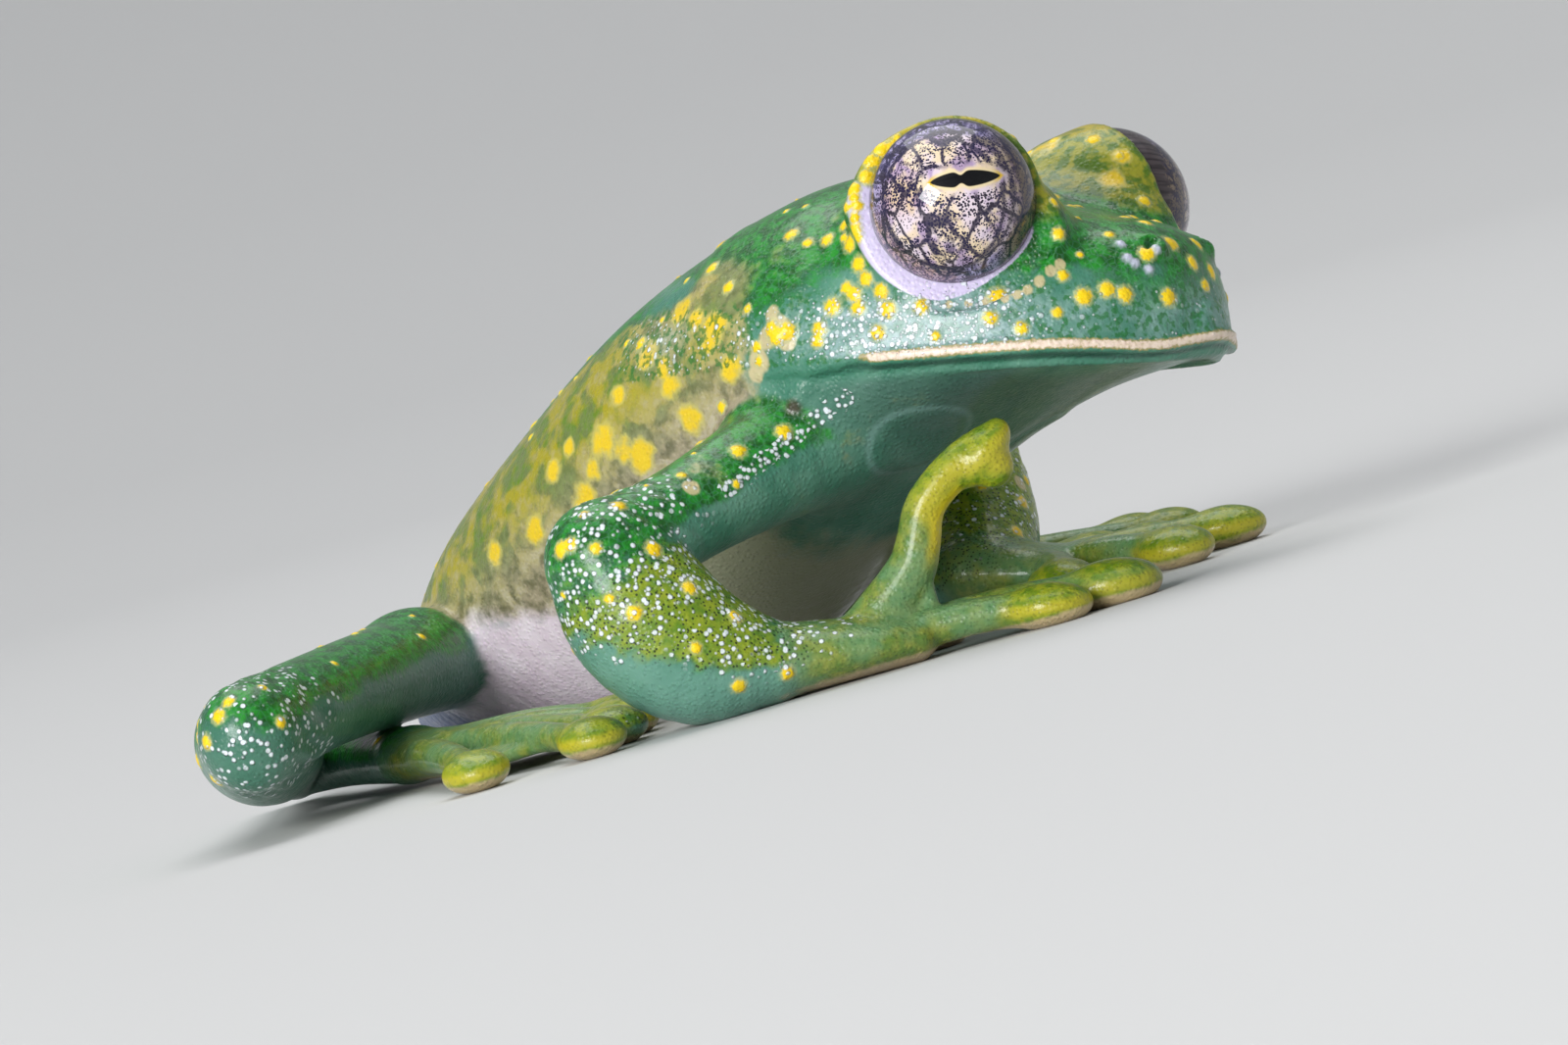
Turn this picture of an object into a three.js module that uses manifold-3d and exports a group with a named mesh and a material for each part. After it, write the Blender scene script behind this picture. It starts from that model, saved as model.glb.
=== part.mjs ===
// A glass frog at life size: it crouches on a flat floor with its chest raised on both arms.
// Millimetres, +Z up, +X ahead along the body, +Y to the frog's left, origin under the belly.
import * as THREE from "three";
import { mergeVertices } from "three/addons/utils/BufferGeometryUtils.js";
import Module from "manifold-3d";

const wasm = await Module();
wasm.setup();

// Driving dimensions of the head
const HEAD_LENGTH = 8.45;
const HEAD_HALF_WIDTH = 4.55;
const SNOUT_TIP = [15.25, 2.24, 4.63];
const HEAD_YAW = 14.3;
const HEAD_PITCH = 8.5;
const HEAD_ROLL = -9.1;
const NOSTRIL = { back: 0.78, side: 1.15, up: 2.0, bump: 0.4, hole: 0.16 };

// Driving dimensions of the eyes, whose places are told from the tip of the snout
const EYE_RADIUS = 1.75;
const EYE_BACK = 4.08;
const EYE_SIDE = 3.45;
const EYE_UP = 3.22;
const LID_TURN = 64;
const LID_LIFT = 11;
const LID_RADIUS = 2.15;
const LID_SET = 0.15;
const BROW = { back: 0.5, inset: 0.9, down: 0.9, long: 2.6, round: 1.9 };

// Driving dimensions of the body and its clearances
const TRUNK_HALF_WIDTH = 4.9;
const GAP = 0.3;
const SOCKET_GAP = 0.2;
const MEMBRANE = 0.55;
const BLOCK = 60;

// Colours
const LEAF_GREEN = 0x2f8f4e;
const PALE_GREEN = 0x7fb87a;
const CREAM = 0xd9dca0;
const EYE_SILVER = 0xcfc8d6;

const UP = new THREE.Vector3(0, 0, 1);

function vector(place) {
  return new THREE.Vector3(...place);
}

// A manifold solid of any closed geometry, moved by a matrix if one is given
function solid(geometry, matrix) {
  const bare = geometry.clone();
  bare.deleteAttribute("normal");
  bare.deleteAttribute("uv");
  if (matrix) bare.applyMatrix4(matrix);
  const merged = mergeVertices(bare, 1e-4);
  return new wasm.Manifold(
    new wasm.Mesh({
      numProp: 3,
      vertProperties: merged.attributes.position.array,
      triVerts: new Uint32Array(merged.index.array),
    }),
  );
}

function union(solids) {
  return solids.reduce((sum, one) => sum.add(one));
}

// The largest closed body of a solid
function largest(whole) {
  const pieces = whole.decompose();
  return pieces.reduce((best, one) => (one.volume() > best.volume() ? one : best));
}

// An ellipsoid with radii along the axes of its matrix
function ball(centre, radii, sides = 12, matrix) {
  const geometry = new THREE.SphereGeometry(1, sides, Math.ceil(sides * 0.6));
  geometry.scale(...radii);
  geometry.translate(...centre);
  return solid(geometry, matrix);
}

// A rounded body drawn through stations, each with a place, a half width, and a height above and
// below the line: a cylinder's rings are set along a curve and its ends are domed
function loft(stations, options = {}) {
  const { up = UP, sides = 10, steps = 2, square = 1, grow = 0, ends = [1, 1], matrix } = options;
  const line = new THREE.CatmullRomCurve3(stations.map((s) => vector(s.at)));
  const size = new THREE.CatmullRomCurve3(
    stations.map((s) => new THREE.Vector3(s.wide, s.top ?? s.wide, s.low ?? s.top ?? s.wide)),
  );
  const spans = (stations.length - 1) * steps;
  const rings = [];
  const addEnd = (t, sign, roundness) => {
    const reach = size.getPoint(t);
    const length = roundness * Math.min(reach.x, (reach.y + reach.z) / 2);
    for (const angle of [75, 40]) {
      const a = THREE.MathUtils.degToRad(angle);
      rings.push({ t, shift: sign * (length * Math.sin(a) + grow), scale: Math.cos(a) });
    }
  };
  addEnd(0, -1, ends[0]);
  for (let i = 0; i <= spans; i++) {
    const past = i === 0 ? -1 : i === spans ? 1 : 0;
    rings.push({ t: i / spans, shift: past * grow, scale: 1 });
  }
  const closing = rings.length;
  addEnd(1, 1, ends[1]);
  rings.splice(closing, 2, rings[closing + 1], rings[closing]);

  const geometry = new THREE.CylinderGeometry(1, 1, 1, sides, rings.length - 1);
  const position = geometry.attributes.position;
  const point = new THREE.Vector3();
  for (let i = 0; i < position.count; i++) {
    point.fromBufferAttribute(position, i);
    const ring = rings[Math.round((0.5 - point.y) * (rings.length - 1))];
    const ahead = line.getTangent(ring.t);
    const above = up.clone().addScaledVector(ahead, -up.dot(ahead)).normalize();
    const aside = above.clone().cross(ahead);
    const reach = size.getPoint(ring.t);
    const across = Math.sign(point.x) * Math.abs(point.x) ** square;
    const over = Math.sign(point.z) * Math.abs(point.z) ** square;
    const height = over > 0 ? reach.y : reach.z;
    const place = line.getPoint(ring.t).addScaledVector(ahead, ring.shift);
    place.addScaledVector(aside, across * (reach.x * ring.scale + grow));
    place.addScaledVector(above, over * (height * ring.scale + grow));
    position.setXYZ(i, place.x, place.y, place.z);
  }
  return solid(geometry, matrix);
}

// Everything ahead of a plane, as a large block to cut with
function beyond(point, normal, distance = 0) {
  const ahead = normal.clone().normalize();
  const geometry = new THREE.BoxGeometry(BLOCK, BLOCK, BLOCK);
  const turn = new THREE.Quaternion().setFromUnitVectors(UP, ahead);
  const centre = point.clone().addScaledVector(ahead, distance + BLOCK / 2);
  return solid(geometry, new THREE.Matrix4().compose(centre, turn, new THREE.Vector3(1, 1, 1)));
}

const UNDER_FLOOR = beyond(vector([0, 0, 0]), vector([0, 0, -1]));

// The two sides of a joint: the first limb keeps what is on its side of the bend, the second the rest
function parted(first, second, from, joint, to) {
  const bend = vector(joint);
  const back = vector(from).sub(bend).normalize();
  const on = vector(to).sub(bend).normalize();
  const normal = back.sub(on);
  const other = normal.clone().negate();
  return [
    first.subtract(beyond(bend, other, -GAP / 2)),
    second.subtract(beyond(bend, normal, -GAP / 2)),
  ];
}

// A place part of the way from one point to another, raised if asked
function between(from, to, share, rise = 0) {
  const place = vector(from).lerp(vector(to), share);
  place.z += rise;
  return place.toArray();
}

const group = new THREE.Group();

// A finished node: cut off at the floor and added under its name
function node(name, whole, colour, roughness = 0.45) {
  const kept = largest(whole.subtract(UNDER_FLOOR)).getMesh();
  const geometry = new THREE.BufferGeometry();
  const places = new Float32Array(kept.vertProperties);
  geometry.setAttribute("position", new THREE.BufferAttribute(places, 3));
  geometry.setIndex(new THREE.BufferAttribute(new Uint32Array(kept.triVerts), 1));
  geometry.computeVertexNormals();
  const material = new THREE.MeshStandardMaterial({ color: colour, roughness, metalness: 0 });
  const mesh = new THREE.Mesh(geometry, material);
  mesh.name = name;
  group.add(mesh);
}

// The head's own frame: x ahead from the tip of the snout, y left, z up from the line of the mouth
const headTurn = new THREE.Euler(
  THREE.MathUtils.degToRad(HEAD_ROLL),
  THREE.MathUtils.degToRad(HEAD_PITCH),
  THREE.MathUtils.degToRad(HEAD_YAW),
  "ZYX",
);
const HEAD = new THREE.Matrix4().makeRotationFromEuler(headTurn).setPosition(...SNOUT_TIP);

function fromHead(place) {
  return vector(place).applyMatrix4(HEAD).toArray();
}

// The head at distances behind the tip of the snout: its share of the half width, and its height
// above and depth below the line of the mouth
const JAW = [
  { back: 0.45, share: 0.39, top: 2.0, low: 0.3 },
  { back: 1.2, share: 0.6, top: 2.6, low: 0.42 },
  { back: 2.2, share: 0.77, top: 2.85, low: 0.6 },
  { back: 3.85, share: 0.91, top: 3.35, low: 1.0 },
  { back: 5.45, share: 0.98, top: 3.9, low: 1.65 },
  { back: 6.75, share: 1, top: 4.1, low: 2.3 },
  { back: HEAD_LENGTH, share: 0.93, top: 4.0, low: 2.8 },
].map((row) => ({ ...row, wide: row.share * HEAD_HALF_WIDTH }));

const MOUTH = JAW.slice(0, 6);
const JAW_INSET = 0.25;
const LIP = 0.2;

function skull(grow = 0) {
  const upper = JAW.map(({ back, wide, top }) => ({ at: [-back, 0, 0], wide, top, low: 0.3 }));
  const lower = JAW.map(({ back, wide, low }) => ({
    at: [-back, 0, 0],
    wide: wide - JAW_INSET,
    top: 0.5,
    low,
  }));
  const shape = { sides: 24, steps: 2, matrix: HEAD, ends: [0.35, 0.1], grow };
  return loft(upper, { ...shape, square: 0.85 }).add(loft(lower, { ...shape, square: 0.95 }));
}

// A lip is a bead along the outline of the jaw, from one corner round the snout to the other
function lip(height, inset, radius) {
  const edge = (side) => ({ back, wide }) => new THREE.Vector3(-back, side * (wide - inset), height);
  const last = MOUTH[MOUTH.length - 1];
  const corner = { back: last.back + 3 * radius, wide: last.wide - 2 * radius };
  const path = new THREE.CatmullRomCurve3([
    edge(-1)(corner),
    ...[...MOUTH].reverse().map(edge(-1)),
    new THREE.Vector3(-inset, 0, height),
    ...MOUTH.map(edge(1)),
    edge(1)(corner),
  ]);
  const round = new THREE.Shape().absarc(0, 0, radius, 0, 2 * Math.PI);
  const bead = new THREE.ExtrudeGeometry(round, { extrudePath: path, steps: 32, curveSegments: 2 });
  return solid(bead, HEAD);
}

function eyeCentre(side) {
  return [-EYE_BACK, side * EYE_SIDE, EYE_UP];
}

function lookingOut(side, angle) {
  const turn = THREE.MathUtils.degToRad(angle);
  const lift = THREE.MathUtils.degToRad(LID_LIFT);
  const flat = Math.cos(lift);
  return new THREE.Vector3(flat * Math.cos(turn), side * flat * Math.sin(turn), Math.sin(lift));
}

// Everything in front of an eye's rim, so that the lids end in a ring round the eyeball
function eyeWindow(side) {
  const axis = lookingOut(side, LID_TURN).transformDirection(HEAD);
  const wide = LID_RADIUS + SOCKET_GAP;
  const rim = new THREE.CylinderGeometry(wide, wide, LID_RADIUS, 20);
  rim.translate(0, LID_RADIUS / 2 + LID_SET, 0);
  rim.rotateX(Math.PI / 2);
  const turn = new THREE.Quaternion().setFromUnitVectors(UP, axis);
  const centre = vector(fromHead(eyeCentre(side)));
  return solid(rim, new THREE.Matrix4().compose(centre, turn, new THREE.Vector3(1, 1, 1)));
}

function head() {
  const parts = [skull(), lip(LIP / 2, 0, LIP), lip(-LIP, 1.2 * JAW_INSET, LIP)];
  for (const side of [-1, 1]) {
    const [x, y, z] = eyeCentre(side);
    const brow = [x - BROW.back, y - side * BROW.inset, z - BROW.down];
    const nostril = [-NOSTRIL.back, side * NOSTRIL.side, NOSTRIL.up];
    parts.push(ball([x, y, z], [LID_RADIUS, LID_RADIUS, LID_RADIUS], 20, HEAD));
    parts.push(ball(brow, [BROW.long, BROW.round, BROW.round], 16, HEAD));
    parts.push(ball(nostril, [NOSTRIL.bump, NOSTRIL.bump, NOSTRIL.bump], 8, HEAD));
  }
  let whole = union(parts);
  for (const side of [-1, 1]) {
    const socket = EYE_RADIUS + SOCKET_GAP;
    whole = whole.subtract(ball(eyeCentre(side), [socket, socket, socket], 22, HEAD));
    whole = whole.subtract(eyeWindow(side));
    const hole = [0.12 - NOSTRIL.back, side * (NOSTRIL.side + 0.75 * NOSTRIL.bump), NOSTRIL.up];
    whole = whole.subtract(ball(hole, [NOSTRIL.hole, NOSTRIL.hole, NOSTRIL.hole], 6, HEAD));
  }
  return whole;
}

// The trunk, from the neck to the vent
const TRUNK = [
  { x: 8.8, z: 6.4, wide: 0.8, top: 3.3, low: 2.6 },
  { x: 6.6, z: 6.1, wide: 0.86, top: 3.5, low: 3.4 },
  { x: 3.8, z: 5.1, wide: 0.91, top: 3.7, low: 3.6 },
  { x: 0.6, z: 3.9, wide: 0.94, top: 3.4, low: 3.9 },
  { x: -2.6, z: 2.9, wide: 0.86, top: 2.75, low: 3.1 },
  { x: -5.4, z: 1.9, wide: 0.61, top: 1.85, low: 2.1 },
  { x: -7.3, z: 1.1, wide: 0.34, top: 1.0, low: 1.2 },
].map((s) => ({ ...s, at: [s.x, s.y ?? 0, s.z], wide: s.wide * TRUNK_HALF_WIDTH }));

function trunk(grow = 0) {
  return loft(TRUNK, { sides: 26, steps: 3, square: 0.92, ends: [0.3, 0.6], grow });
}

// The neck is parted from the head by a thin cut behind the jaws
const NAPE = vector(fromHead([-HEAD_LENGTH + 0.7, 0, 0.4]));
const neckAxis = new THREE.Vector3(1, 0.12, 0.1).normalize();

node("torso", trunk().subtract(beyond(NAPE, neckAxis, -GAP / 2)), LEAF_GREEN);
node("head", head().subtract(beyond(NAPE, neckAxis.clone().negate(), -GAP / 2)), LEAF_GREEN);
for (const [name, side] of [["right", -1], ["left", 1]]) {
  const radii = [EYE_RADIUS, EYE_RADIUS, EYE_RADIUS];
  node(`eye_${name}`, ball(eyeCentre(side), radii, 22, HEAD), EYE_SILVER, 0.1);
}

const TRUNK_CLEARANCE = trunk(GAP);
const BODY_CLEARANCE = TRUNK_CLEARANCE.add(skull(GAP));

// A digit runs from its root through its bends to a round disc; a web may be joined to it later
function digit(root, bends, tip, radius, disc) {
  const [x, y, z] = tip;
  const stations = [root, ...bends, tip].map((at) => ({ at, wide: radius, top: radius * 0.85 }));
  const previous = bends.length ? bends[bends.length - 1] : root;
  const heading = vector(tip).sub(vector(previous)).normalize();
  const turn = new THREE.Quaternion().setFromUnitVectors(new THREE.Vector3(1, 0, 0), heading);
  const place = new THREE.Matrix4().compose(new THREE.Vector3(x, y, z), turn, new THREE.Vector3(1, 1, 1));
  return loft(stations, { sides: 8, steps: 2 }).add(
    ball([0, 0, 0], [disc * 1.15, disc, disc * 0.62], 10, place),
  );
}

// A web is a thin plate between two digits, from their roots to a share of their length, with a
// hollow free edge
function web(root, tips, share, height) {
  const shape = new THREE.Shape();
  shape.moveTo(root[0], root[1]);
  const [first, second] = tips.map((tip) => between(root, tip, share));
  const hollow = between(root, between(first, second, 0.5), 0.72);
  shape.lineTo(first[0], first[1]);
  shape.quadraticCurveTo(hollow[0], hollow[1], second[0], second[1]);
  shape.closePath();
  const thickness = { depth: MEMBRANE, bevelEnabled: false, curveSegments: 5 };
  const plate = new THREE.ExtrudeGeometry(shape, thickness);
  plate.translate(0, 0, height);
  return solid(plate);
}

// The places of each arm's joints and finger tips, from the first finger to the fourth
const ARMS = {
  right: {
    shoulder: [8.0, -2.9, 4.9],
    elbow: [7.4, -8.9, 3.8],
    sag: [-0.5, -0.5, -0.4],
    wrist: [9.15, -6.95, 0.86],
    palm: [10.3, -5.3, 0.62],
    tips: [[9.6, -2.6, 0.4], [12.75, -2.8, 3.7], [13.7, -1.1, 0.4], [13.5, -2.9, 0.4]],
    bends: [[9.7, -3.6, 0.6], [11.4, -4.1, 2.4], [12.2, -2.7, 0.6], [12.2, -3.9, 0.6]],
  },
  left: {
    shoulder: [7.0, 3.3, 5.0],
    elbow: [2.7, 6.8, 4.0],
    sag: [-0.5, 0.5, -0.4],
    wrist: [4.8, 4.1, 0.98],
    palm: [6.0, 5.0, 0.62],
    tips: [[8.4, 3.0, 0.4], [9.9, 5.2, 0.42], [9.0, 7.9, 0.42], [6.2, 8.5, 0.42]],
    bends: [[7.5, 4.0, 0.6], [8.2, 5.2, 0.6], [7.6, 6.5, 0.6], [6.1, 6.8, 0.6]],
  },
};

const FINGER_RADIUS = 0.46;
const FINGER_DISC = 0.78;
const BROAD_DISC = 0.9;

function upperArm({ shoulder, elbow }) {
  return loft([
    { at: between(shoulder, elbow, -0.05), wide: 1.5, top: 1.45 },
    { at: between(shoulder, elbow, 0.35), wide: 1.15, top: 1.15 },
    { at: between(shoulder, elbow, 0.7), wide: 1.05, top: 1.05 },
    { at: elbow, wide: 1.2, top: 1.25 },
  ], { sides: 12, ends: [0.6, 1] });
}

// The forearm is the thick part of the arm, and its flesh hangs on the outer, lower side
function forearm({ elbow, wrist, sag }) {
  const hung = (share, amount) => {
    const place = vector(between(elbow, wrist, share));
    return place.addScaledVector(vector(sag), amount).toArray();
  };
  return loft([
    { at: elbow, wide: 1.25, top: 1.25 },
    { at: hung(0.35, 0.7), wide: 1.6, top: 1.6 },
    { at: hung(0.7, 0.8), wide: 1.65, top: 1.45 },
    { at: wrist, wide: 1.25, top: 0.86 },
  ], { sides: 14, ends: [1, 0.7] });
}

function palmOf({ wrist, palm }, grow = 0) {
  return loft([
    { at: wrist, wide: 1.1, top: 0.8 },
    { at: palm, wide: 1.35, top: 0.62 },
    { at: between(wrist, palm, 1.5, -0.05), wide: 1.2, top: 0.5 },
  ], { sides: 14, grow, ends: [0.7, 0.8] });
}

function arm(name, places) {
  const { shoulder, elbow, wrist, palm, tips, bends } = places;
  const fingers = tips.map((tip, i) => {
    const start = between(palm, bends[i], 0.25);
    const disc = name === "right" && i === 2 ? BROAD_DISC : FINGER_DISC;
    return digit(start, [bends[i]], tip, FINGER_RADIUS, disc);
  });
  const between3And4 = web(palm, [tips[2], tips[3]], 0.72, 0.05);
  const outer = union([palmOf(places), fingers[2], fingers[3], between3And4]);
  const [over, under] = parted(upperArm(places), forearm(places), shoulder, elbow, wrist);
  const [fore, hand] = parted(under, outer, elbow, wrist, palm);
  node(`upper_arm_${name}`, over.subtract(BODY_CLEARANCE), LEAF_GREEN);
  node(`forearm_${name}`, fore.subtract(BODY_CLEARANCE), LEAF_GREEN);
  node(`hand_${name}`, hand, PALE_GREEN);
  const room = palmOf(places, GAP);
  node(`finger_1_${name}`, fingers[0].subtract(room), CREAM);
  node(`finger_2_${name}`, fingers[1].subtract(room), CREAM);
}

arm("right", ARMS.right);
arm("left", ARMS.left);

// The places of each leg's joints and toe tips, from the first toe to the fifth
const LEGS = {
  right: {
    hip: [-4.6, -1.8, 2.2],
    knee: [0.1, -13.2, 2.25],
    heel: [-8.6, -4.6, 0.95],
    ankle: [-1.6, -7.4, 0.7],
    tips: [[3.2, -5.6, 0.4], [4.6, -7.0, 0.4], [5.8, -8.5, 0.4], [6.9, -10.2, 0.4], [5.2, -12.0, 0.4]],
  },
  left: {
    hip: [-4.6, 1.8, 2.2],
    knee: [-3.3, 13.57, 2.25],
    heel: [-9.28, 3.15, 0.95],
    ankle: [-3.53, 7.55, 0.7],
    tips: [[1.03, 7.6, 0.4], [1.79, 9.14, 0.4], [2.45, 10.67, 0.4], [2.91, 12.77, 0.4], [0.81, 13.85, 0.4]],
  },
};

const TOE_RADIUS = 0.42;
const TOE_DISC = 0.72;

function thigh({ hip, knee }) {
  return loft([
    { at: hip, wide: 1.4, top: 1.1 },
    { at: between(hip, knee, 0.35, 0.2), wide: 1.4, top: 1.1 },
    { at: between(hip, knee, 0.72, 0.2), wide: 1.25, top: 1.05 },
    { at: knee, wide: 1.05, top: 1.15 },
  ], { sides: 14, ends: [0.5, 1] });
}

function shank({ knee, heel }) {
  return loft([
    { at: knee, wide: 1.05, top: 1.15 },
    { at: between(knee, heel, 0.3), wide: 1.3, top: 1.3 },
    { at: between(knee, heel, 0.68), wide: 0.95, top: 1.0 },
    { at: heel, wide: 0.75, top: 0.85 },
  ], { sides: 12, ends: [1, 0.8] });
}

function tarsus({ heel, ankle }) {
  return loft([
    { at: heel, wide: 0.75, top: 0.8 },
    { at: between(heel, ankle, 0.5), wide: 0.62, top: 0.6 },
    { at: ankle, wide: 0.8, top: 0.6 },
  ], { sides: 10 });
}

function foot({ ankle, tips }) {
  const middle = tips[2];
  const sole = loft([
    { at: ankle, wide: 0.8, top: 0.55 },
    { at: between(ankle, middle, 0.3, -0.1), wide: 1.15, top: 0.45 },
  ], { sides: 10 });
  const pieces = [sole];
  tips.forEach((tip, i) => {
    const bend = between(ankle, tip, 0.6, 0.15);
    pieces.push(digit(between(ankle, tip, 0.2), [bend], tip, TOE_RADIUS, TOE_DISC));
    if (i > 0) pieces.push(web(ankle, [tips[i - 1], tip], 0.86, 0.05));
  });
  return union(pieces);
}

function leg(name, places) {
  const { hip, knee, heel, ankle, tips } = places;
  const [upper, middle] = parted(thigh(places), shank(places), hip, knee, heel);
  const [lower, low] = parted(middle, tarsus(places), knee, heel, ankle);
  const [instep, toes] = parted(low, foot(places), heel, ankle, tips[2]);
  node(`thigh_${name}`, upper.subtract(TRUNK_CLEARANCE), LEAF_GREEN);
  node(`shank_${name}`, lower, LEAF_GREEN);
  node(`tarsus_${name}`, instep, PALE_GREEN);
  node(`foot_${name}`, toes, CREAM);
}

leg("right", LEGS.right);
leg("left", LEGS.left);

export default group;
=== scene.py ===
"""The looks of a glass frog at life size: one skin over its solids, two eyes, a pale floor and soft light.

The skeleton below is in millimetres and repeats the sizes of the solids: +X ahead along the body,
+Y to the frog's left, +Z up, origin on the floor under the belly. Blender's own units are metres.
"""
import math

import bpy
import numpy as np
from mathutils import Matrix, Vector


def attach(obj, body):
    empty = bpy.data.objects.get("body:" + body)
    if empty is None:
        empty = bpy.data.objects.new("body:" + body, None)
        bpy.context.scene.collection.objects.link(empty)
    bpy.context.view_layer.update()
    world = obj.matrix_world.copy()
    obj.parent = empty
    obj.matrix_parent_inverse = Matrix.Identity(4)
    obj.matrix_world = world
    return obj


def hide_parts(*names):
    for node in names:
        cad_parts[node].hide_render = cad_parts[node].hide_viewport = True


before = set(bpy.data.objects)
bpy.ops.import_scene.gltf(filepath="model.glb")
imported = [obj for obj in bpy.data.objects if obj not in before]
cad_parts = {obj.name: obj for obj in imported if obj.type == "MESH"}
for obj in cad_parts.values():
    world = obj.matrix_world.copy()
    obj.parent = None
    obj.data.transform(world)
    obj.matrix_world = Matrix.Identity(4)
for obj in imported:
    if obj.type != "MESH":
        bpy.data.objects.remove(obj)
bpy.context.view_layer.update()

MM = 0.001
UP = np.array([0.0, 0.0, 1.0])
SIDES = {"right": -1, "left": 1}
rng = np.random.default_rng(7)

# The grid of cubes that the skin is drawn in: the side of a cube, the distance that stands for far away,
# how far past the box of a body its distances are worked out, and the box of the whole grid
CELL = 0.08
FAR = 9.0
MARGIN = 1.3
GRID_LOW = np.array([-10.6, -15.2, -0.4])
GRID_HIGH = np.array([16.8, 15.2, 11.6])
GRID_COUNT = np.ceil((GRID_HIGH - GRID_LOW) / CELL).astype(int) + 1

# The head, whose own frame is x ahead from the tip of the snout, y left, z up from the line of the mouth
SNOUT_TIP = Vector((15.25, 2.24, 4.63))
YAW, PITCH, ROLL = (
    Matrix.Rotation(math.radians(angle), 3, axis) for angle, axis in ((14.3, "Z"), (8.5, "Y"), (-9.1, "X"))
)
HEAD_TURN = YAW @ PITCH @ ROLL
HEAD_UP = np.array(HEAD_TURN.col[2])

# Rows across the head: how far behind the snout, the share of the half width, the height and the depth
HEAD_HALF_WIDTH = 4.55
JAW = [
    (0.05, 0.16, 0.9, 0.1), (0.22, 0.275, 1.6, 0.16), (0.55, 0.405, 2.2, 0.22), (1.2, 0.59, 2.6, 0.3),
    (2.2, 0.77, 2.85, 0.45), (3.85, 0.91, 3.35, 0.85), (5.45, 0.98, 3.9, 1.55), (6.75, 1.0, 4.1, 2.2),
    (8.45, 0.93, 3.9, 2.7), (10.05, 0.82, 3.2, 2.7),
]
MOUTH_ROWS = 8
# The lower jaw is set in from the upper, and each reaches a little past the line of the mouth
JAW_INSET, UPPER_PAST, LOWER_PAST = 0.27, 0.3, 0.5
HEAD_SHAPE = {"up": HEAD_UP, "power": 2.35, "straight": True}
LIP = 0.16
LIP_TAPER = 0.5
DROOP, DROOP_SIDE, DROOP_SPREAD = 0.17, 1.85, 1.15
NOSTRIL = (-0.8, 1.06, 2.18)

# The eyes, and the balls round each: the offset from its middle, the radii and the soft width of the join
EYE_RADIUS = 1.75
EYE_SIDES, EYE_RINGS = 128, 96
EYE_BACK, EYE_SIDE, EYE_UP = 4.08, 3.45, 3.22
LID_TURN, LID_LIFT = 64, 11
LID_RADIUS = 1.87
LID_SET = 0.1
EYE_BALLS = [
    ((-0.5, -0.9, -0.9), (2.6, 1.9, 1.9), 0.8),
    ((0, 0, 0), [LID_RADIUS] * 3, 0.2),
    ((-0.62, -0.2, -0.08), [1.74] * 3, 0.2),
    ((-0.51, 0.25, -0.57), [1.38] * 3, 0.2),
]

# Rows across the trunk from the neck to the vent: x, z, the share of the half width, the height and the depth
TRUNK_HALF_WIDTH = 4.9
TRUNK = [
    (8.8, 6.4, 0.80, 3.3, 2.6), (6.6, 6.1, 0.86, 3.5, 3.4), (3.8, 5.1, 0.91, 3.7, 3.6),
    (0.6, 3.9, 0.94, 3.4, 3.9), (-2.6, 2.9, 0.86, 2.75, 3.1), (-5.4, 1.9, 0.61, 1.85, 2.1),
    (-7.3, 1.1, 0.34, 1.0, 1.2),
]
VENT = (-7.8, 0.0, 1.4)

# The joints of the arms, and the bends and tips of their fingers from the first to the fourth
ARMS = {
    "right": {
        "shoulder": (8.0, -2.9, 4.9),
        "elbow": (7.4, -8.9, 3.8),
        "wrist": (9.15, -6.95, 0.86),
        "palm": (10.3, -5.3, 0.62),
        "bends": [(9.7, -3.6, 0.6), (11.45, -4.05, 2.35), (12.2, -2.7, 0.6), (12.2, -3.9, 0.6)],
        "tips": [(9.6, -2.6, 0.4), (12.1, -3.35, 3.2), (13.7, -1.1, 0.4), (13.5, -2.9, 0.4)],
    },
    "left": {
        "shoulder": (7.0, 3.3, 5.0),
        "elbow": (2.7, 6.8, 4.0),
        "wrist": (4.8, 4.1, 0.98),
        "palm": (6.0, 5.0, 0.62),
        "bends": [(7.5, 4.0, 0.6), (8.2, 5.2, 0.6), (7.6, 6.5, 0.6), (6.1, 6.8, 0.6)],
        "tips": [(8.4, 3.0, 0.4), (9.9, 5.2, 0.42), (9.0, 7.9, 0.42), (6.2, 8.5, 0.42)],
    },
}
FINGER_RADIUS, FINGER_DISC, BROAD_DISC = 0.42, 0.78, 0.9
LIFTED, BROAD = ("right", 1), ("right", 2)

# The lifted finger: places past its root with their radii, directions, and the two balls of its end
LIFTED_LINE = [
    (11.2, -4.3, 1.8, 0.52), (11.45, -4.05, 2.35, 0.47), (11.73, -3.77, 3.11, 0.42), (12.4, -3.06, 3.78, 0.4),
    (12.98, -2.45, 4.24, 0.13),
]
LIFTED_UP = np.array([0.71, -0.71, 0.0])
LIFTED_AHEAD, LIFTED_ASIDE = np.array([0.52, 0.55, 0.65]), np.array([0.71, -0.71, 0.03])
LIFTED_BALLS = [((12.72, -2.74, 3.76), (0.78, 0.55, 0.4)), ((12.82, -2.66, 3.4), (0.42, 0.42, 0.38))]
LIFTED_TIP = (12.75, -2.7, 3.7)

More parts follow.
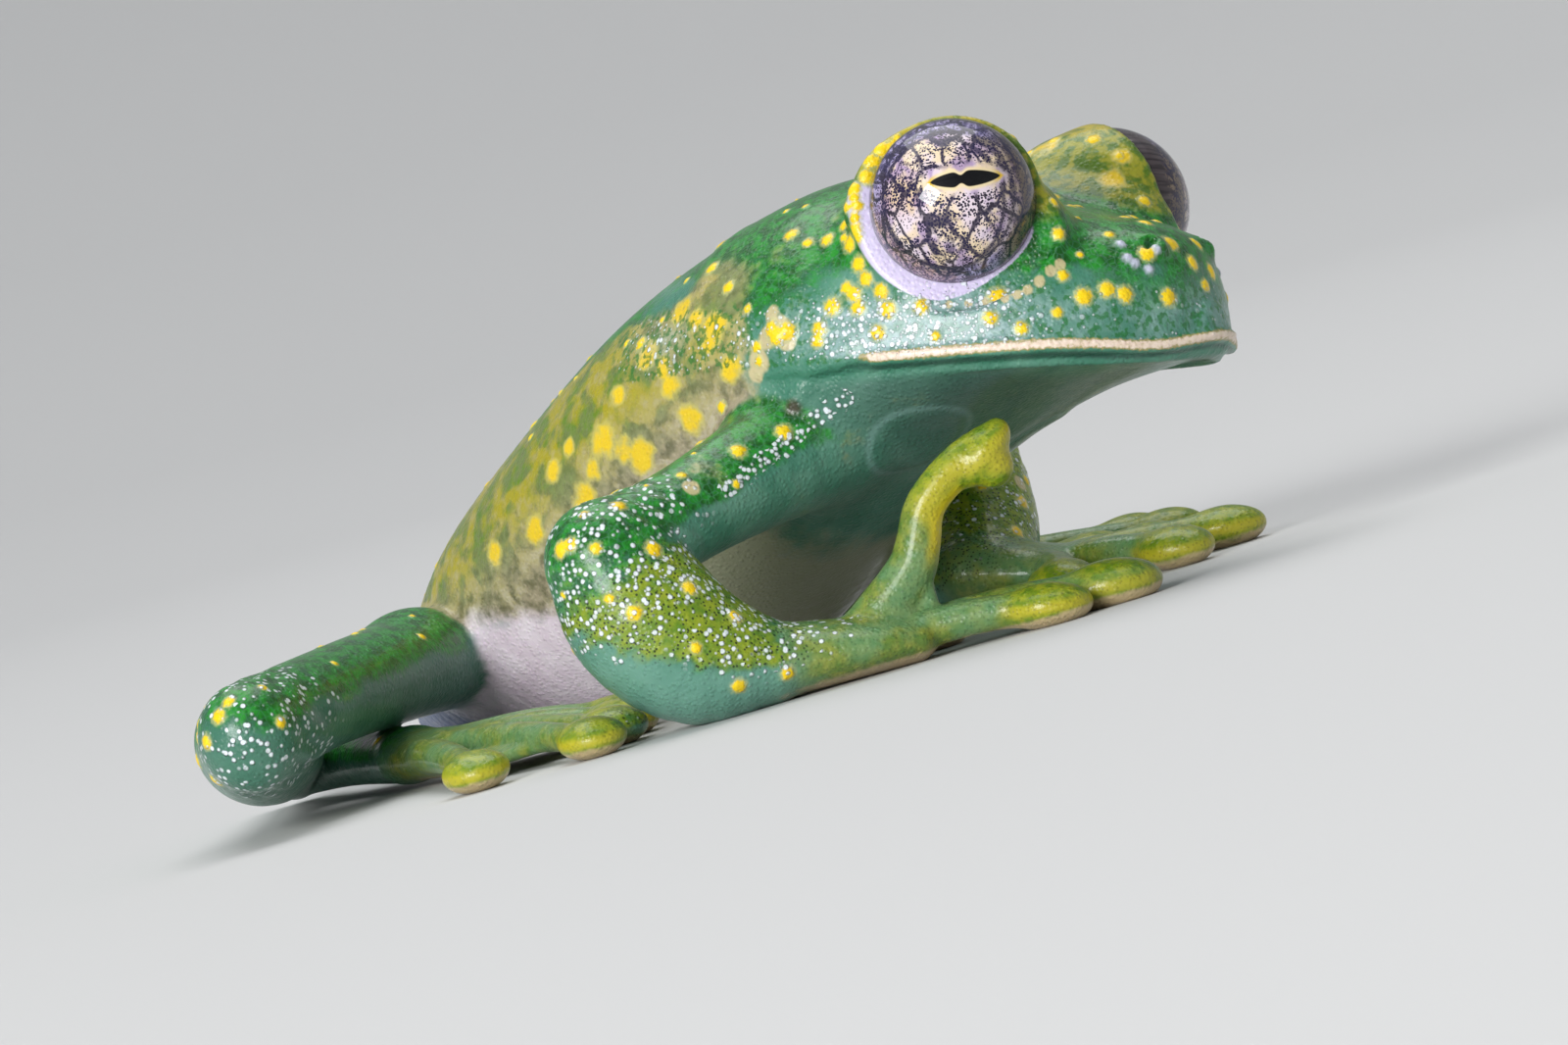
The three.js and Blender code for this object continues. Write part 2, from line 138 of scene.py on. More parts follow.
# The joints of the legs, and the tips of their toes from the first to the fifth
TOE_HEIGHT = 0.4
LEGS = {
    "right": {
        "hip": (-4.6, -1.8, 2.2),
        "knee": (0.1, -13.2, 2.25),
        "heel": (-8.6, -4.6, 0.95),
        "ankle": (-1.6, -7.4, 0.7),
        "tips": [(3.2, -5.6), (4.6, -7.0), (5.8, -8.5), (6.9, -10.2), (5.2, -12.0)],
    },
    "left": {
        "hip": (-4.6, 1.8, 2.2),
        "knee": (-3.3, 13.57, 2.25),
        "heel": (-9.28, 3.15, 0.95),
        "ankle": (-3.53, 7.55, 0.7),
        "tips": [(1.03, 7.6), (1.79, 9.14), (2.45, 10.67), (2.91, 12.77), (0.81, 13.85)],
    },
}
for leg in LEGS.values():
    leg["tips"] = [(x, y, TOE_HEIGHT) for x, y in leg["tips"]]
TOE_RADIUS, TOE_DISC = 0.38, 0.72
WEB, WEB_SAG, WEB_START, WEB_ROWS = 0.13, 0.3, 0.12, 14

# Rows along each limb: the share of the way from joint to joint, the rise off it, the half width, the height
LIMBS = {
    "upper_arm": [(-0.05, 0, 1.5, 1.45), (0.35, 0, 1.15), (0.7, 0, 1.05), (1, 0, 1.2, 1.25)],
    "forearm": [(0, 0, 1.25), (0.35, 0.7, 1.6), (0.7, 0.8, 1.65, 1.45), (1, 0, 1.25, 0.86)],
    "hand": [(0, 0, 1.1, 0.8), (1, 0, 1.35, 0.62), (1.5, -0.05, 1.2, 0.5)],
    "thigh": [(0, 0, 1.4, 1.1), (0.35, 0.2, 1.4, 1.1), (0.72, 0.2, 1.25, 1.05), (1, 0, 1.05, 1.15)],
    "shank": [(0, 0, 1.05, 1.15), (0.3, 0, 1.3), (0.68, 0, 0.95, 1.0), (1, 0, 0.75, 0.85)],
    "tarsus": [(0, 0, 0.75, 0.8), (0.5, 0, 0.62, 0.6), (1, 0, 0.8, 0.6)],
    "foot": [(0, 0, 0.8, 0.55), (0.3, -0.1, 1.15, 0.45)],
}
FOREARM_RISE = (-0.5, 0.5, -0.4)

# The camera looks across the frog from its right and ahead, a little above the floor, and leans to one side
AIM = Vector((9.0, -5.2, 3.5))
AZIMUTH, ELEVATION, LEAN = 45, 2, 16
DISTANCE = 181.0
LENS, SENSOR = 200, 36
PHOTO_WIDTH, PHOTO_HEIGHT = 1600, 1066
LIGHT_DISTANCE = 420


def from_head(place):
    return np.array(SNOUT_TIP + HEAD_TURN @ Vector(place))


def in_head(places):
    """Places of the body in the frame of the head."""
    return (places - np.array(SNOUT_TIP)) @ np.array(HEAD_TURN)


def between(start, end, share, rise=0.0, way=UP):
    """A place at a share of the way from one to another, moved off it by a rise in some direction."""
    place = np.array(start) + (np.array(end) - np.array(start)) * share
    return place + way * rise


def unit(vector):
    return vector / np.linalg.norm(vector)


def station(place, wide, top=None, low=None):
    """A place on the line of a limb, with its half width and its height above and below the line."""
    top = wide if top is None else top
    return np.array([*place, wide, top, top if low is None else low], float)


def smooth_line(stations, steps=4):
    """Stations along a curve through the given ones."""
    given = np.array(stations, float)
    ends = np.vstack([2 * given[0] - given[1], given, 2 * given[-1] - given[-2]])
    line = []
    for i in range(len(given) - 1):
        a, b, c, d = ends[i:i + 4]
        for t in np.arange(steps) / steps:
            bent = (2 * a - 5 * b + 4 * c - d) * t**2 + (3 * b - a - 3 * c + d) * t**3
            line.append(0.5 * (2 * b + (c - a) * t + bent))
    return np.array([*line, given[-1]])


# Distances to the surface, in mm, at the corners of the grid

def grid_box(low, high):
    """The numbers of the first corner of the grid that is near a box, and of the one past the last."""
    first = np.floor((np.array(low) - MARGIN - GRID_LOW) / CELL).astype(int)
    return first, np.ceil((np.array(high) + MARGIN - GRID_LOW) / CELL).astype(int) + 1


class Field:
    """Distances to a surface over a box of the grid, below zero inside."""

    def __init__(self, low, high):
        first, last = grid_box(low, high)
        self.start = np.maximum(first, 0)
        self.values = np.full(np.minimum(last, GRID_COUNT) - self.start, FAR, np.float32)

    def near(self, low, high):
        """The corners of the grid near a box, as an index into the values, and their places."""
        first, last = (np.clip(end - self.start, 0, self.values.shape) for end in grid_box(low, high))
        index = tuple(slice(f, s) for f, s in zip(first, last))
        steps = [np.arange(f, s) for f, s in zip(first + self.start, last + self.start)]
        places = [(GRID_LOW[i] + steps[i] * CELL).astype(np.float32) for i in range(3)]
        return index, np.ix_(*places)

    def shared(self, other):
        """Where two fields overlap, as an index into each."""
        low = np.maximum(self.start, other.start)
        high = np.minimum(self.start + self.values.shape, other.start + other.values.shape)
        return [tuple(slice(a, b) for a, b in zip(low - f.start, high - f.start)) for f in (self, other)]

    def join(self, other, soft):
        mine, theirs = self.shared(other)
        self.values[mine] = least(self.values[mine], other.values[theirs], soft)

    def cut(self, other, soft):
        mine, theirs = self.shared(other)
        self.values[mine] = -least(-self.values[mine], other.values[theirs], soft)


def least(a, b, soft):
    """The smaller of two distances, with the crease between them filled over a soft width."""
    near = np.maximum(soft - np.abs(a - b), 0) / soft
    return np.minimum(a, b) - near**3 * (soft / 6)


def offsets_along(places, centre, axes):
    """How far places are from a centre along each of some directions."""
    offsets = [values - np.float32(c) for values, c in zip(places, centre)]
    return [sum(o * np.float32(d) for o, d in zip(offsets, axis)) for axis in axes]


def span_distance(where, line, up=UP, power=2.0, roundness=1.0, straight=False):
    """Distance from places to a straight limb, and how far up its section they are."""
    a, b = line[0], line[-1]
    length = max(np.linalg.norm(b[:3] - a[:3]), 1e-6)
    ahead = (b[:3] - a[:3]) / length
    above = unit(up - ahead * up.dot(ahead))
    along, over, across = offsets_along(where, a[:3], (ahead, above, np.cross(above, ahead)))
    share = np.clip(along / np.float32(length), 0, 1)
    past = along - share * np.float32(length)
    if straight:
        marks = np.linalg.norm(line[:, :3] - a[:3], axis=1) / length
        wide, top, low = (np.interp(share, marks, line[:, i]).astype(np.float32) for i in (3, 4, 5))
    else:
        wide, top, low = (np.float32(a[i]) + np.float32(b[i] - a[i]) * share for i in (3, 4, 5))
    high = np.where(over > 0, top, low)
    cap = np.minimum(wide, high) * np.float32(roundness)
    if power == 2.0:
        section = (across / wide) ** 2 + (over / high) ** 2
    else:
        section = (np.abs(across / wide) ** power + np.abs(over / high) ** power) ** (2 / power)
    section = np.maximum(section + (past / cap) ** 2, 1e-8)
    reach = np.sqrt(across**2 + over**2 + past**2) + np.float32(1e-4)
    return reach * (1 - 1 / np.sqrt(section)), over / high


def spans(line, straight=False, **_):
    """The stretches of a limb from station to station, or the whole of a straight one."""
    return [line] if straight else [line[i:i + 2] for i in range(len(line) - 1)]


def limb(line, **shape):
    """The field of a rounded body drawn along a line of stations."""
    reach = line[:, 3:].max()
    field = Field(line[:, :3].min(0) - reach, line[:, :3].max(0) + reach)
    for span in spans(line, **shape):
        wide = span[:, 3:].max()
        index, places = field.near(span[:, :3].min(0) - wide, span[:, :3].max(0) + wide)
        distance = span_distance(places, span, **shape)[0]
        np.minimum(field.values[index], distance, out=field.values[index])
    return field


def limb_at(points, line, **shape):
    """The distance of points from a limb, and how far up its section each of them is."""
    where = points.T.astype(np.float32)
    best = np.full(len(points), FAR * 4, np.float32)
    height = np.zeros(len(points), np.float32)
    for span in spans(line, **shape):
        distance, over = span_distance(where, span, **shape)
        nearer = distance < best
        best[nearer] = distance[nearer]
        height[nearer] = over[nearer]
    return best, height


def ball(centre, radii, axes=np.eye(3)):
    """The field of an ellipsoid with radii along the given axes."""
    centre, radii = np.array(centre, float), np.array(radii, float)
    box = centre - radii.max(), centre + radii.max()
    field = Field(*box)
    index, places = field.near(*box)
    along = offsets_along(places, centre, axes)
    first, second = (
        np.sqrt(sum((t / r**power) ** 2 for t, r in zip(along, radii))) + 1e-6 for power in (1, 2)
    )
    field.values[index] = first * (first - 1) / second
    return field


# The parts of the body, with the line of stations of each limb kept by name

LINES = {}


def head_ball(place, radii):
    return ball(from_head(place), radii, np.array(HEAD_TURN).T)


def droop(aside):
    """How far the mouth hangs below the middle of the snout, at a distance to either side of it."""
    return DROOP * np.exp(-((np.abs(aside) - DROOP_SIDE) / DROOP_SPREAD) ** 2)


def bead(height, inset, radius, share=1.0):
    """A bead from one corner of the mouth round the snout to the other, thinner towards the corners."""
    side = [(back + inset * 0.5, wide * HEAD_HALF_WIDTH - inset) for back, wide, _, _ in JAW[:MOUTH_ROWS]]
    outline = [(back, -wide) for back, wide in reversed(side)] + side
    middle = (len(outline) - 1) / 2
    stations = []
    for i, (back, aside) in enumerate(outline):
        place = from_head((-back, aside, height - share * droop(aside)))
        stations.append(station(place, radius * (1 - LIP_TAPER * (abs(i - middle) / middle) ** 4)))
    return limb(smooth_line(stations, 6), up=HEAD_UP)


def skull():
    upper, lower = [], []
    for back, wide, top, low in JAW:
        place, wide = from_head((-back, 0, 0)), wide * HEAD_HALF_WIDTH
        upper.append(station(place, wide, top, UPPER_PAST))
        lower.append(station(place, wide - JAW_INSET, LOWER_PAST, low))
    LINES["head"], LINES["jaw"] = smooth_line(upper, 8), smooth_line(lower, 8)
    whole = limb(LINES["head"], roundness=0.35, **HEAD_SHAPE)
    whole.join(limb(LINES["jaw"], roundness=0.35, **{**HEAD_SHAPE, "power": 2.1}), 0.05)
    return whole


def eye_centre(side):
    return (-EYE_BACK, side * EYE_SIDE, EYE_UP)


def looking_out(side, angle, lift):
    """A direction out of the head, turned from straight ahead and lifted, in the frame of the body."""
    angle, lift = math.radians(angle), math.radians(lift)
    flat = math.cos(lift)
    way = Vector((math.cos(angle) * flat, math.sin(angle) * flat * side, math.sin(lift)))
    return np.array(HEAD_TURN @ way)


def lid_window(side):
    """Everything in front of the rim of the lids, near the eye."""
    centre = from_head(eye_centre(side))
    reach = LID_RADIUS + 0.5
    field = Field(centre - reach, centre + reach)
    index, places = field.near(centre - reach, centre + reach)
    ahead = offsets_along(places, centre, [looking_out(side, LID_TURN, LID_LIFT)])[0]
    apart = np.sqrt(sum(o**2 for o in offsets_along(places, centre, np.eye(3))))
    field.values[index] = np.maximum(LID_SET - ahead, apart - reach)
    return field


def build_head(skin):
    skin.join(skull(), 1.2)
    for side in SIDES.values():
        x, y, z = eye_centre(side)
        for (ahead, out, over), radii, soft in EYE_BALLS:
            skin.join(head_ball((x + ahead, y + side * out, z + over), radii), soft)
        skin.join(head_ball((NOSTRIL[0], side * NOSTRIL[1], NOSTRIL[2] - 0.22), (0.4, 0.28, 0.3)), 0.4)
    skin.join(bead(LIP * 0.7, 0.06, LIP), 0.12)
    skin.join(head_ball((-0.02, 0, LIP * 0.8), (0.34, 0.85, 0.13)), 0.2)
    skin.join(bead(-0.22, 0.4, 0.8 * LIP, 0.3), 0.12)
    for side in SIDES.values():
        skin.cut(lid_window(side), 0.12)
        hole = (NOSTRIL[0] + 0.1, side * (NOSTRIL[1] + 0.2), NOSTRIL[2] - 0.06)
        skin.cut(head_ball(hole, (0.12, 0.27, 0.18)), 0.08)


def build_trunk(skin):
    stations = [station((x, 0, z), wide * TRUNK_HALF_WIDTH, top, low) for x, z, wide, top, low in TRUNK]
    LINES["trunk"] = smooth_line(stations, 8)
    skin.join(limb(LINES["trunk"], power=2.17, roundness=0.6), 0.1)
    skin.join(ball(VENT, (0.42, 0.45, 0.3)), 0.4)
    skin.cut(ball((VENT[0] - 0.45, VENT[1], VENT[2] - 0.12), (0.22, 0.2, 0.1)), 0.1)


def axes_along(heading):
    """Directions along, across and above a heading."""
    along = unit(heading)
    above = unit(UP - along * UP.dot(along))
    return np.array([along, np.cross(above, along), above])


def add_limb(skin, kind, side, start, end, soft, way=UP):
    """Joins a limb that runs from one joint to another, with its rises off that line in some direction."""
    rows = [station(between(start, end, share, rise, way), *sizes) for share, rise, *sizes in LIMBS[kind]]
    LINES[f"{kind}_{side}"] = smooth_line(rows)
    skin.join(limb(LINES[f"{kind}_{side}"]), soft)


def digit(line, disc):
    """A finger or toe along a line, with a broad flat disc at its end."""
    whole = limb(line)
    heading = line[-1][:3] - line[-3][:3]
    whole.join(ball(line[-1][:3], (disc * 1.15, disc, disc * 0.6), axes_along(heading)), 0.35)
    return whole


def lifted_finger(start):
    """The lifted finger of the near hand, whose broad end hangs free as a wedge that points ahead."""
    line = smooth_line([station(start, 0.62, 0.5), *(station(row[:3], row[3]) for row in LIFTED_LINE)])
    whole = limb(line, up=LIFTED_UP)
    axes = np.array([LIFTED_AHEAD, LIFTED_ASIDE, np.cross(LIFTED_AHEAD, LIFTED_ASIDE)])
    for place, radii in LIFTED_BALLS:
        whole.join(ball(place, radii, axes), 0.3)
    return whole, line


def web(first, second, share):
    """A thin sheet of skin between two digits, from their roots to a share of their length."""
    root = (first[0][:3] + second[0][:3]) / 2
    rows = []
    for s in np.linspace(WEB_START, share, WEB_ROWS):
        a, b = (
            np.array([np.interp(s, np.linspace(0, 1, len(line)), line[:, i]) for i in range(3)])
            for line in (first, second)
        )
        middle = between((a + b) / 2, root, WEB_SAG * s)
        low, high = sorted((a[2], b[2]))
        middle[2] = low * 0.75 + (high - low) * 0.32
        rows.append(smooth_line([station(p, WEB) for p in (a, middle, b)], 3))
    points = np.concatenate(rows)[:, :3]
    sheet = Field(points.min(0) - WEB, points.max(0) + WEB)
    for i, row in enumerate(rows):
        sheet.join(limb(row), 0.12 if i else 0.05)
    return sheet


def build_arm(skin, side):
    arm = ARMS[side]
    shoulder, elbow, wrist, palm = (np.array(arm[joint]) for joint in ("shoulder", "elbow", "wrist", "palm"))
    add_limb(skin, "upper_arm", side, shoulder, elbow, 0.9)
    add_limb(skin, "forearm", side, elbow, wrist, 0.3, np.array(FOREARM_RISE) * (1, SIDES[side], 1))
    add_limb(skin, "hand", side, wrist, palm, 0.3)
    fingers = []
    for i, (bend, tip) in enumerate(zip(arm["bends"], arm["tips"])):
        start = between(palm, bend, 0.15)
        if (side, i) == LIFTED:
            finger, line = lifted_finger(start)
        else:
            line = smooth_line([
                station(start, FINGER_RADIUS * 1.15, FINGER_RADIUS),
                station(bend, FINGER_RADIUS, FINGER_RADIUS * 0.9),
                station(tip, FINGER_RADIUS * 0.9, FINGER_RADIUS * 0.8),
            ])
            finger = digit(line, BROAD_DISC if (side, i) == BROAD else FINGER_DISC)
        skin.join(finger, 0.25)
        fingers.append(line)
        LINES[f"finger_{i + 1}_{side}"] = line
    skin.join(web(fingers[2], fingers[3], 0.72), 0.12)
    if side == LIFTED[0]:
        skin.join(web(fingers[1], fingers[3], 0.4), 0.12)


def build_leg(skin, side):
    leg = LEGS[side]
    hip, knee, heel, ankle = (np.array(leg[joint]) for joint in ("hip", "knee", "heel", "ankle"))
    add_limb(skin, "thigh", side, hip, knee, 0.5)
    skin.join(ball(between(hip, knee, 0.3, 0.45), (1.5, 1.15, 1.0), axes_along(knee - hip)), 0.5)
    add_limb(skin, "shank", side, knee, heel, 0.12)
    calf = between(knee, heel, 0.27, 0.12) + np.array([-0.1, 0.1 * SIDES[side], 0])
    skin.join(ball(calf, (1.9, 1.22, 1.2), axes_along(heel - knee)), 0.4)
    skin.join(ball(heel + np.array([-0.2, 0, 0.1]), (0.7, 0.62, 0.72)), 0.2)
    add_limb(skin, "tarsus", side, heel, ankle, 0.12)
    add_limb(skin, "foot", side, ankle, leg["tips"][2], 0.3)
    toes = []
    for i, tip in enumerate(leg["tips"]):
        line = smooth_line([
            station(between(ankle, tip, 0.1), TOE_RADIUS),
            station(between(ankle, tip, 0.6, 0.15), TOE_RADIUS, TOE_RADIUS * 0.9),
            station(tip, TOE_RADIUS * 0.8, TOE_RADIUS * 0.7),
        ])
        toes.append(line)
        LINES[f"toe_{i + 1}_{side}"] = line
        skin.join(digit(line, TOE_DISC), 0.2)
    for first, second in zip(toes[:-1], toes[1:]):
        skin.join(web(first, second, 0.84), 0.1)


# The zero surface of the field as a mesh of four-sided faces, one corner in each cube that it crosses

CORNERS = [np.array([i, j, k]) for i in (0, 1) for j in (0, 1) for k in (0, 1)]
STEPS = np.eye(3, dtype=int)
ROUNDS = 3


def crossing_places(values, cubes):
    """The mean of the places where the surface crosses the edges of each cube."""
    total = np.zeros((len(cubes), 3))
    hits = np.zeros(len(cubes))
    for corner in CORNERS:
        for step in STEPS:
            if corner @ step:
                continue
            first = values[tuple((cubes + corner).T)]
            second = values[tuple((cubes + corner + step).T)]
            crossed = (first < 0) != (second < 0)
            share = first[crossed] / (first[crossed] - second[crossed])
            total[crossed] += corner + share[:, None] * step
            hits[crossed] += 1
    return total / hits[:, None]


def surface(values):
    inside = values < 0
    ends = np.array(values.shape) - 1
    windows = [tuple(slice(c, c + end) for c, end in zip(corner, ends)) for corner in CORNERS]
    count = sum(inside[window].astype(np.uint8) for window in windows)
    mixed = (count > 0) & (count < len(CORNERS))
    cubes = np.argwhere(mixed)
    number = np.full(mixed.shape, -1, np.int32)
    number[mixed] = np.arange(len(cubes))
    faces = []
    for axis in range(3):
        first, second = inside.take(range(ends[axis]), axis), inside.take(range(1, ends[axis] + 1), axis)
        u, v = STEPS[(axis + 1) % 3], STEPS[(axis + 2) % 3]
        for changed, order in ((first & ~second, 1), (~first & second, -1)):
            edges = np.argwhere(changed)
            ring = [edges, edges - u, edges - u - v, edges - v]
            faces.append(np.stack([number[tuple(cell.T)] for cell in ring], 1)[:, ::order])
    return cubes + crossing_places(values, cubes), np.concatenate(faces)


def sampled(values, places):
    """Distances at any places, told in cells, between the corners of the grid."""
    base = np.clip(np.floor(places).astype(int), 0, np.array(values.shape) - 2)
    share = places - base
    total = np.zeros(len(places))
    for corner in CORNERS:
        weight = np.prod(np.where(corner, share, 1 - share), 1)
        total += weight * values[tuple((base + corner).T)]
    return total


def slope(values, places):
    step = 0.6
    rise = [sampled(values, places + way * step) - sampled(values, places - way * step) for way in np.eye(3)]
    return np.stack(rise, 1) / (2 * step)


def gathered(index, vectors, count):
    """The sum of the vectors that each index has."""
    return np.stack([np.bincount(index, vectors[:, axis], count) for axis in range(3)], 1)


def relaxed(places, faces, share):
    """Places moved a share of the way to the middle of their neighbours."""
    total, hits = np.zeros_like(places), np.zeros(len(places))
    for i in range(4):
        for other in (faces[:, (i + 1) % 4], faces[:, (i + 3) % 4]):
            total += gathered(faces[:, i], places[other], len(places))
            hits += np.bincount(faces[:, i], minlength=len(places))
    return places + (total / hits[:, None] - places) * share


def corner_normals(places, faces):
    a, b, c, d = (places[faces[:, i]] for i in range(4))
    face_normals = np.cross(c - a, d - b)
    normals = sum(gathered(faces[:, i], face_normals, len(places)) for i in range(4))
    return normals / np.maximum(np.linalg.norm(normals, axis=1, keepdims=True), 1e-12)


def grown(values):
    """The surface, evened out in rounds and moved back in each to where the field is zero."""
    places, faces = surface(values)
    for _ in range(ROUNDS):
        places = relaxed(places, faces, 0.5)
        rise = slope(values, places)
        steep = np.maximum((rise**2).sum(1), 1e-6)
        move = rise * (sampled(values, places) / steep)[:, None]
        places -= np.clip(move, -0.5, 0.5)
    return GRID_LOW + places * CELL, faces


def build_skin():
    skin = Field(GRID_LOW, GRID_HIGH)
    build_trunk(skin)
    build_head(skin)
    for side in SIDES:
        build_arm(skin, side)
        build_leg(skin, side)
    heights = GRID_LOW[2] + np.arange(skin.values.shape[2]) * CELL
    return grown(np.maximum(skin.values, -heights.astype(np.float32)))


def add_object(name, data):
    made = bpy.data.objects.new(name, data)
    bpy.context.scene.collection.objects.link(made)
    return made


def mesh_object(name, places, faces):
    mesh = bpy.data.meshes.new(name)
    mesh.from_pydata(np.array(places) * MM, [], faces)
    mesh.validate()
    mesh.shade_smooth()
    return add_object(name, mesh)


def lathed(profile, sides):
    """Places in rings about the z axis, each with its radius and height, and the faces between the rings."""
    angles = np.linspace(0, 2 * math.pi, sides, endpoint=False)
    places = [(r * math.cos(a), r * math.sin(a), z) for r, z in profile for a in angles]
    first = np.arange(len(places) - sides)
    second = first + np.where(first % sides == sides - 1, 1 - sides, 1)
    return places, np.stack([first, second, second + sides, first + sides], 1).tolist()


# Camera, floor and lights

def camera_axes():
    """Directions to the right, up and back towards the camera, as the photograph was framed."""
    azimuth, elevation, lean = (math.radians(angle) for angle in (AZIMUTH, ELEVATION, LEAN))
    flat = math.cos(elevation)
    back = Vector((math.sin(azimuth) * flat, -math.cos(azimuth) * flat, math.sin(elevation)))
    level = Vector((math.cos(azimuth), math.sin(azimuth), 0))
    upright = back.cross(level)
    right = level * math.cos(lean) - upright * math.sin(lean)
    up = level * math.sin(lean) + upright * math.cos(lean)
    return right, up, back


def placed(axes, place):
    """The matrix of an object with the given axes at a place in mm."""
    matrix = Matrix(axes).transposed().to_4x4()
    matrix.translation = Vector(place) * MM
    return matrix


def add_camera():
    data = bpy.data.cameras.new("camera")
    data.lens, data.sensor_width = LENS, SENSOR
    data.clip_start, data.clip_end = 0.01, 20
    axes = camera_axes()
    made = add_object("camera", data)
    made.matrix_world = placed(axes, AIM + axes[2] * DISTANCE)
    bpy.context.scene.camera = made


def add_light(name, offset, size, power, spin=0):
    """A soft square light, offset in mm from where the camera aims, which faces there and is spun."""
    data = bpy.data.lights.new(name, "AREA")
    data.shape, data.size, data.energy = "SQUARE", size * MM, power
    made = add_object(name, data)
    made.location = (AIM + offset) * MM
    facing = (-offset).to_track_quat("-Z", "Y").to_matrix()
    made.rotation_euler = (facing @ Matrix.Rotation(math.radians(spin), 3, "Z")).to_euler()


def add_floor():
    """A pale floor that curves up into a wall all round, so that no horizon shows."""
    flat, bend, tall, sides = 240, 560, 300, 96
    profile = [(0.001, 0), (flat * 0.5, 0)]
    for angle in np.radians(np.linspace(0, 90, 13)):
        profile.append((flat + bend * math.sin(angle), bend - bend * math.cos(angle)))
    profile.append((flat + bend, tall))
    floor = mesh_object("floor", *lathed(profile, sides))
    floor.data.materials.append(Nodes("studio_floor").finish(Base_Color=(0.6, 0.6, 0.595), Roughness=0.9))


def add_world():
    world = bpy.data.worlds.new("studio")
    world.use_nodes = True
    background = world.node_tree.nodes["Background"]
    background.inputs["Color"].default_value = (0.9, 0.94, 1.0, 1)
    background.inputs["Strength"].default_value = 0.38
    bpy.context.scene.world = world
    bpy.context.scene.view_settings.view_transform = "Standard"


# What the skin is like at each of its corners

def ramp(values, low, high):
    """A smooth step from 0 at low to 1 at high."""
    share = np.clip((values - low) / (high - low), 0, 1)
    return share * share * (3 - 2 * share)


def fade(values, low, high):
    """A smooth step from 1 at low to 0 at high."""
    return 1 - ramp(values, low, high)


def apart_from(places, targets):
    """How far each place is from the nearest of some others."""
    return np.min([np.linalg.norm(places - np.array(target), axis=1) for target in targets], axis=0)


def nearest_of(points, names, **shape):
    """The distance from the nearest of some limbs, and how far up its section each point is."""
    distances, heights = np.array([limb_at(points, LINES[name], **shape) for name in names]).swapaxes(0, 1)
    return distances.min(0), heights[distances.argmin(0), np.arange(len(points))]


def in_picture(places):
    """Where places fall in the photograph, in its pixels, and how far they are from the camera."""
    right, up, back = (np.array(axis) for axis in camera_axes())
    offset = places - np.array(AIM)
    depth = DISTANCE - offset @ back
    scale = LENS / SENSOR * PHOTO_WIDTH / depth
    return PHOTO_WIDTH / 2 + offset @ right * scale, PHOTO_HEIGHT / 2 - offset @ up * scale, depth


# Where the photograph shows the marks of the skin, in its pixels, some with a radius in mm, and within how
# many pixels a corner of the skin is found
SEEN_WITHIN = 6
HEAD_SPOTS_SEEN = [
    (871, 267), (879, 282), (895, 294), (935, 314), (1018, 297), (1088, 278), (1081, 234), (1131, 234),
    (1222, 242), (1233, 288), (1196, 302), (1153, 298), (1083, 315), (1005, 324), (1040, 331), (890, 338),
    (872, 312), (858, 293), (845, 309), (829, 345), (831, 337), (1171, 222), (1094, 205), (1081, 204),
    (1200, 244), (1174, 256), (1241, 275), (866, 300), (950, 340), (1110, 300), (1131, 290), (902, 315),
]
RIM_SPOTS_SEEN = [
    (858, 225), (866, 236), (862, 212), (856, 240), (868, 200), (872, 188), (860, 226), (868, 222),
    (880, 176), (892, 162), (905, 148), (874, 205), (866, 190), (915, 138), (870, 244), (862, 250),
    (884, 160), (898, 146),
]
BODY_SPOTS_SEEN = [
    (804, 235), (840, 242), (821, 243), (739, 289), (760, 311), (785, 335), (799, 338), (790, 343),
    (771, 367), (768, 352), (732, 415), (696, 480), (633, 510), (754, 454), (608, 554), (669, 556),
    (708, 596), (618, 607), (642, 624), (568, 557), (716, 661), (805, 692), (757, 704), (576, 556),
    (271, 696), (218, 730), (205, 758), (216, 800), (198, 780), (230, 712),
]
PATCHES_SEEN = [
    (691, 313, 0.42), (725, 330, 0.42), (657, 357, 0.42), (741, 376, 0.35), (681, 391, 0.33), (608, 449, 0.5),
    (650, 466, 0.45), (591, 505, 0.42), (560, 480, 0.33), (540, 540, 0.38), (625, 400, 0.3), (706, 321, 0.3),
    (672, 372, 0.3), (630, 458, 0.35), (600, 478, 0.3), (715, 350, 0.25), (575, 455, 0.25), (700, 430, 0.4),
    (500, 560, 0.3), (1134, 178, 0.35), (1064, 146, 0.4), (1146, 155, 0.25),
]
CREAM_SEEN = [
    (1086, 265, 0.13), (1075, 274, 0.13), (1063, 282, 0.13), (1050, 290, 0.12), (1037, 295, 0.11),
    (1022, 299, 0.1), (1005, 303, 0.1), (985, 306, 0.09), (965, 307, 0.09), (771, 367, 0.3), (778, 345, 0.28),
    (792, 330, 0.26), (800, 345, 0.22), (785, 318, 0.22), (705, 493, 0.2), (768, 386, 0.2),
]
THROAT_SEEN = [(940, 450, 1.15)]
MARK_SEEN = [(805, 413, 0.2)]
LUMPS_SEEN = [(1145, 244, 0.11), (1150, 258, 0.11), (1162, 266, 0.11), (1174, 270, 0.11), (1184, 251, 0.11)]
# A row of white granules on the upper arm, partly painted highlights where the wet skin glints
GLINT_GRANULES_SEEN = [(860, 409), (836, 430), (815, 445), (790, 462), (765, 482), (739, 502)]
GLINT_GRANULES_RADIUS = 0.17

# Spots: the radii of those that are seen and of the others, how far the others keep from each other and
# from those seen, how many there are at most, and how far spots, the throat and the lumps rise
SEEN_RADII, OTHER_RADII = (0.11, 0.2), (0.06, 0.2)
OTHERS_APART, SEEN_APART, OTHERS_MOST = 0.55, 0.6, 260
SPOT_RISE, THROAT_RISE, LUMP_RISE = 0.04, 0.06, 0.07


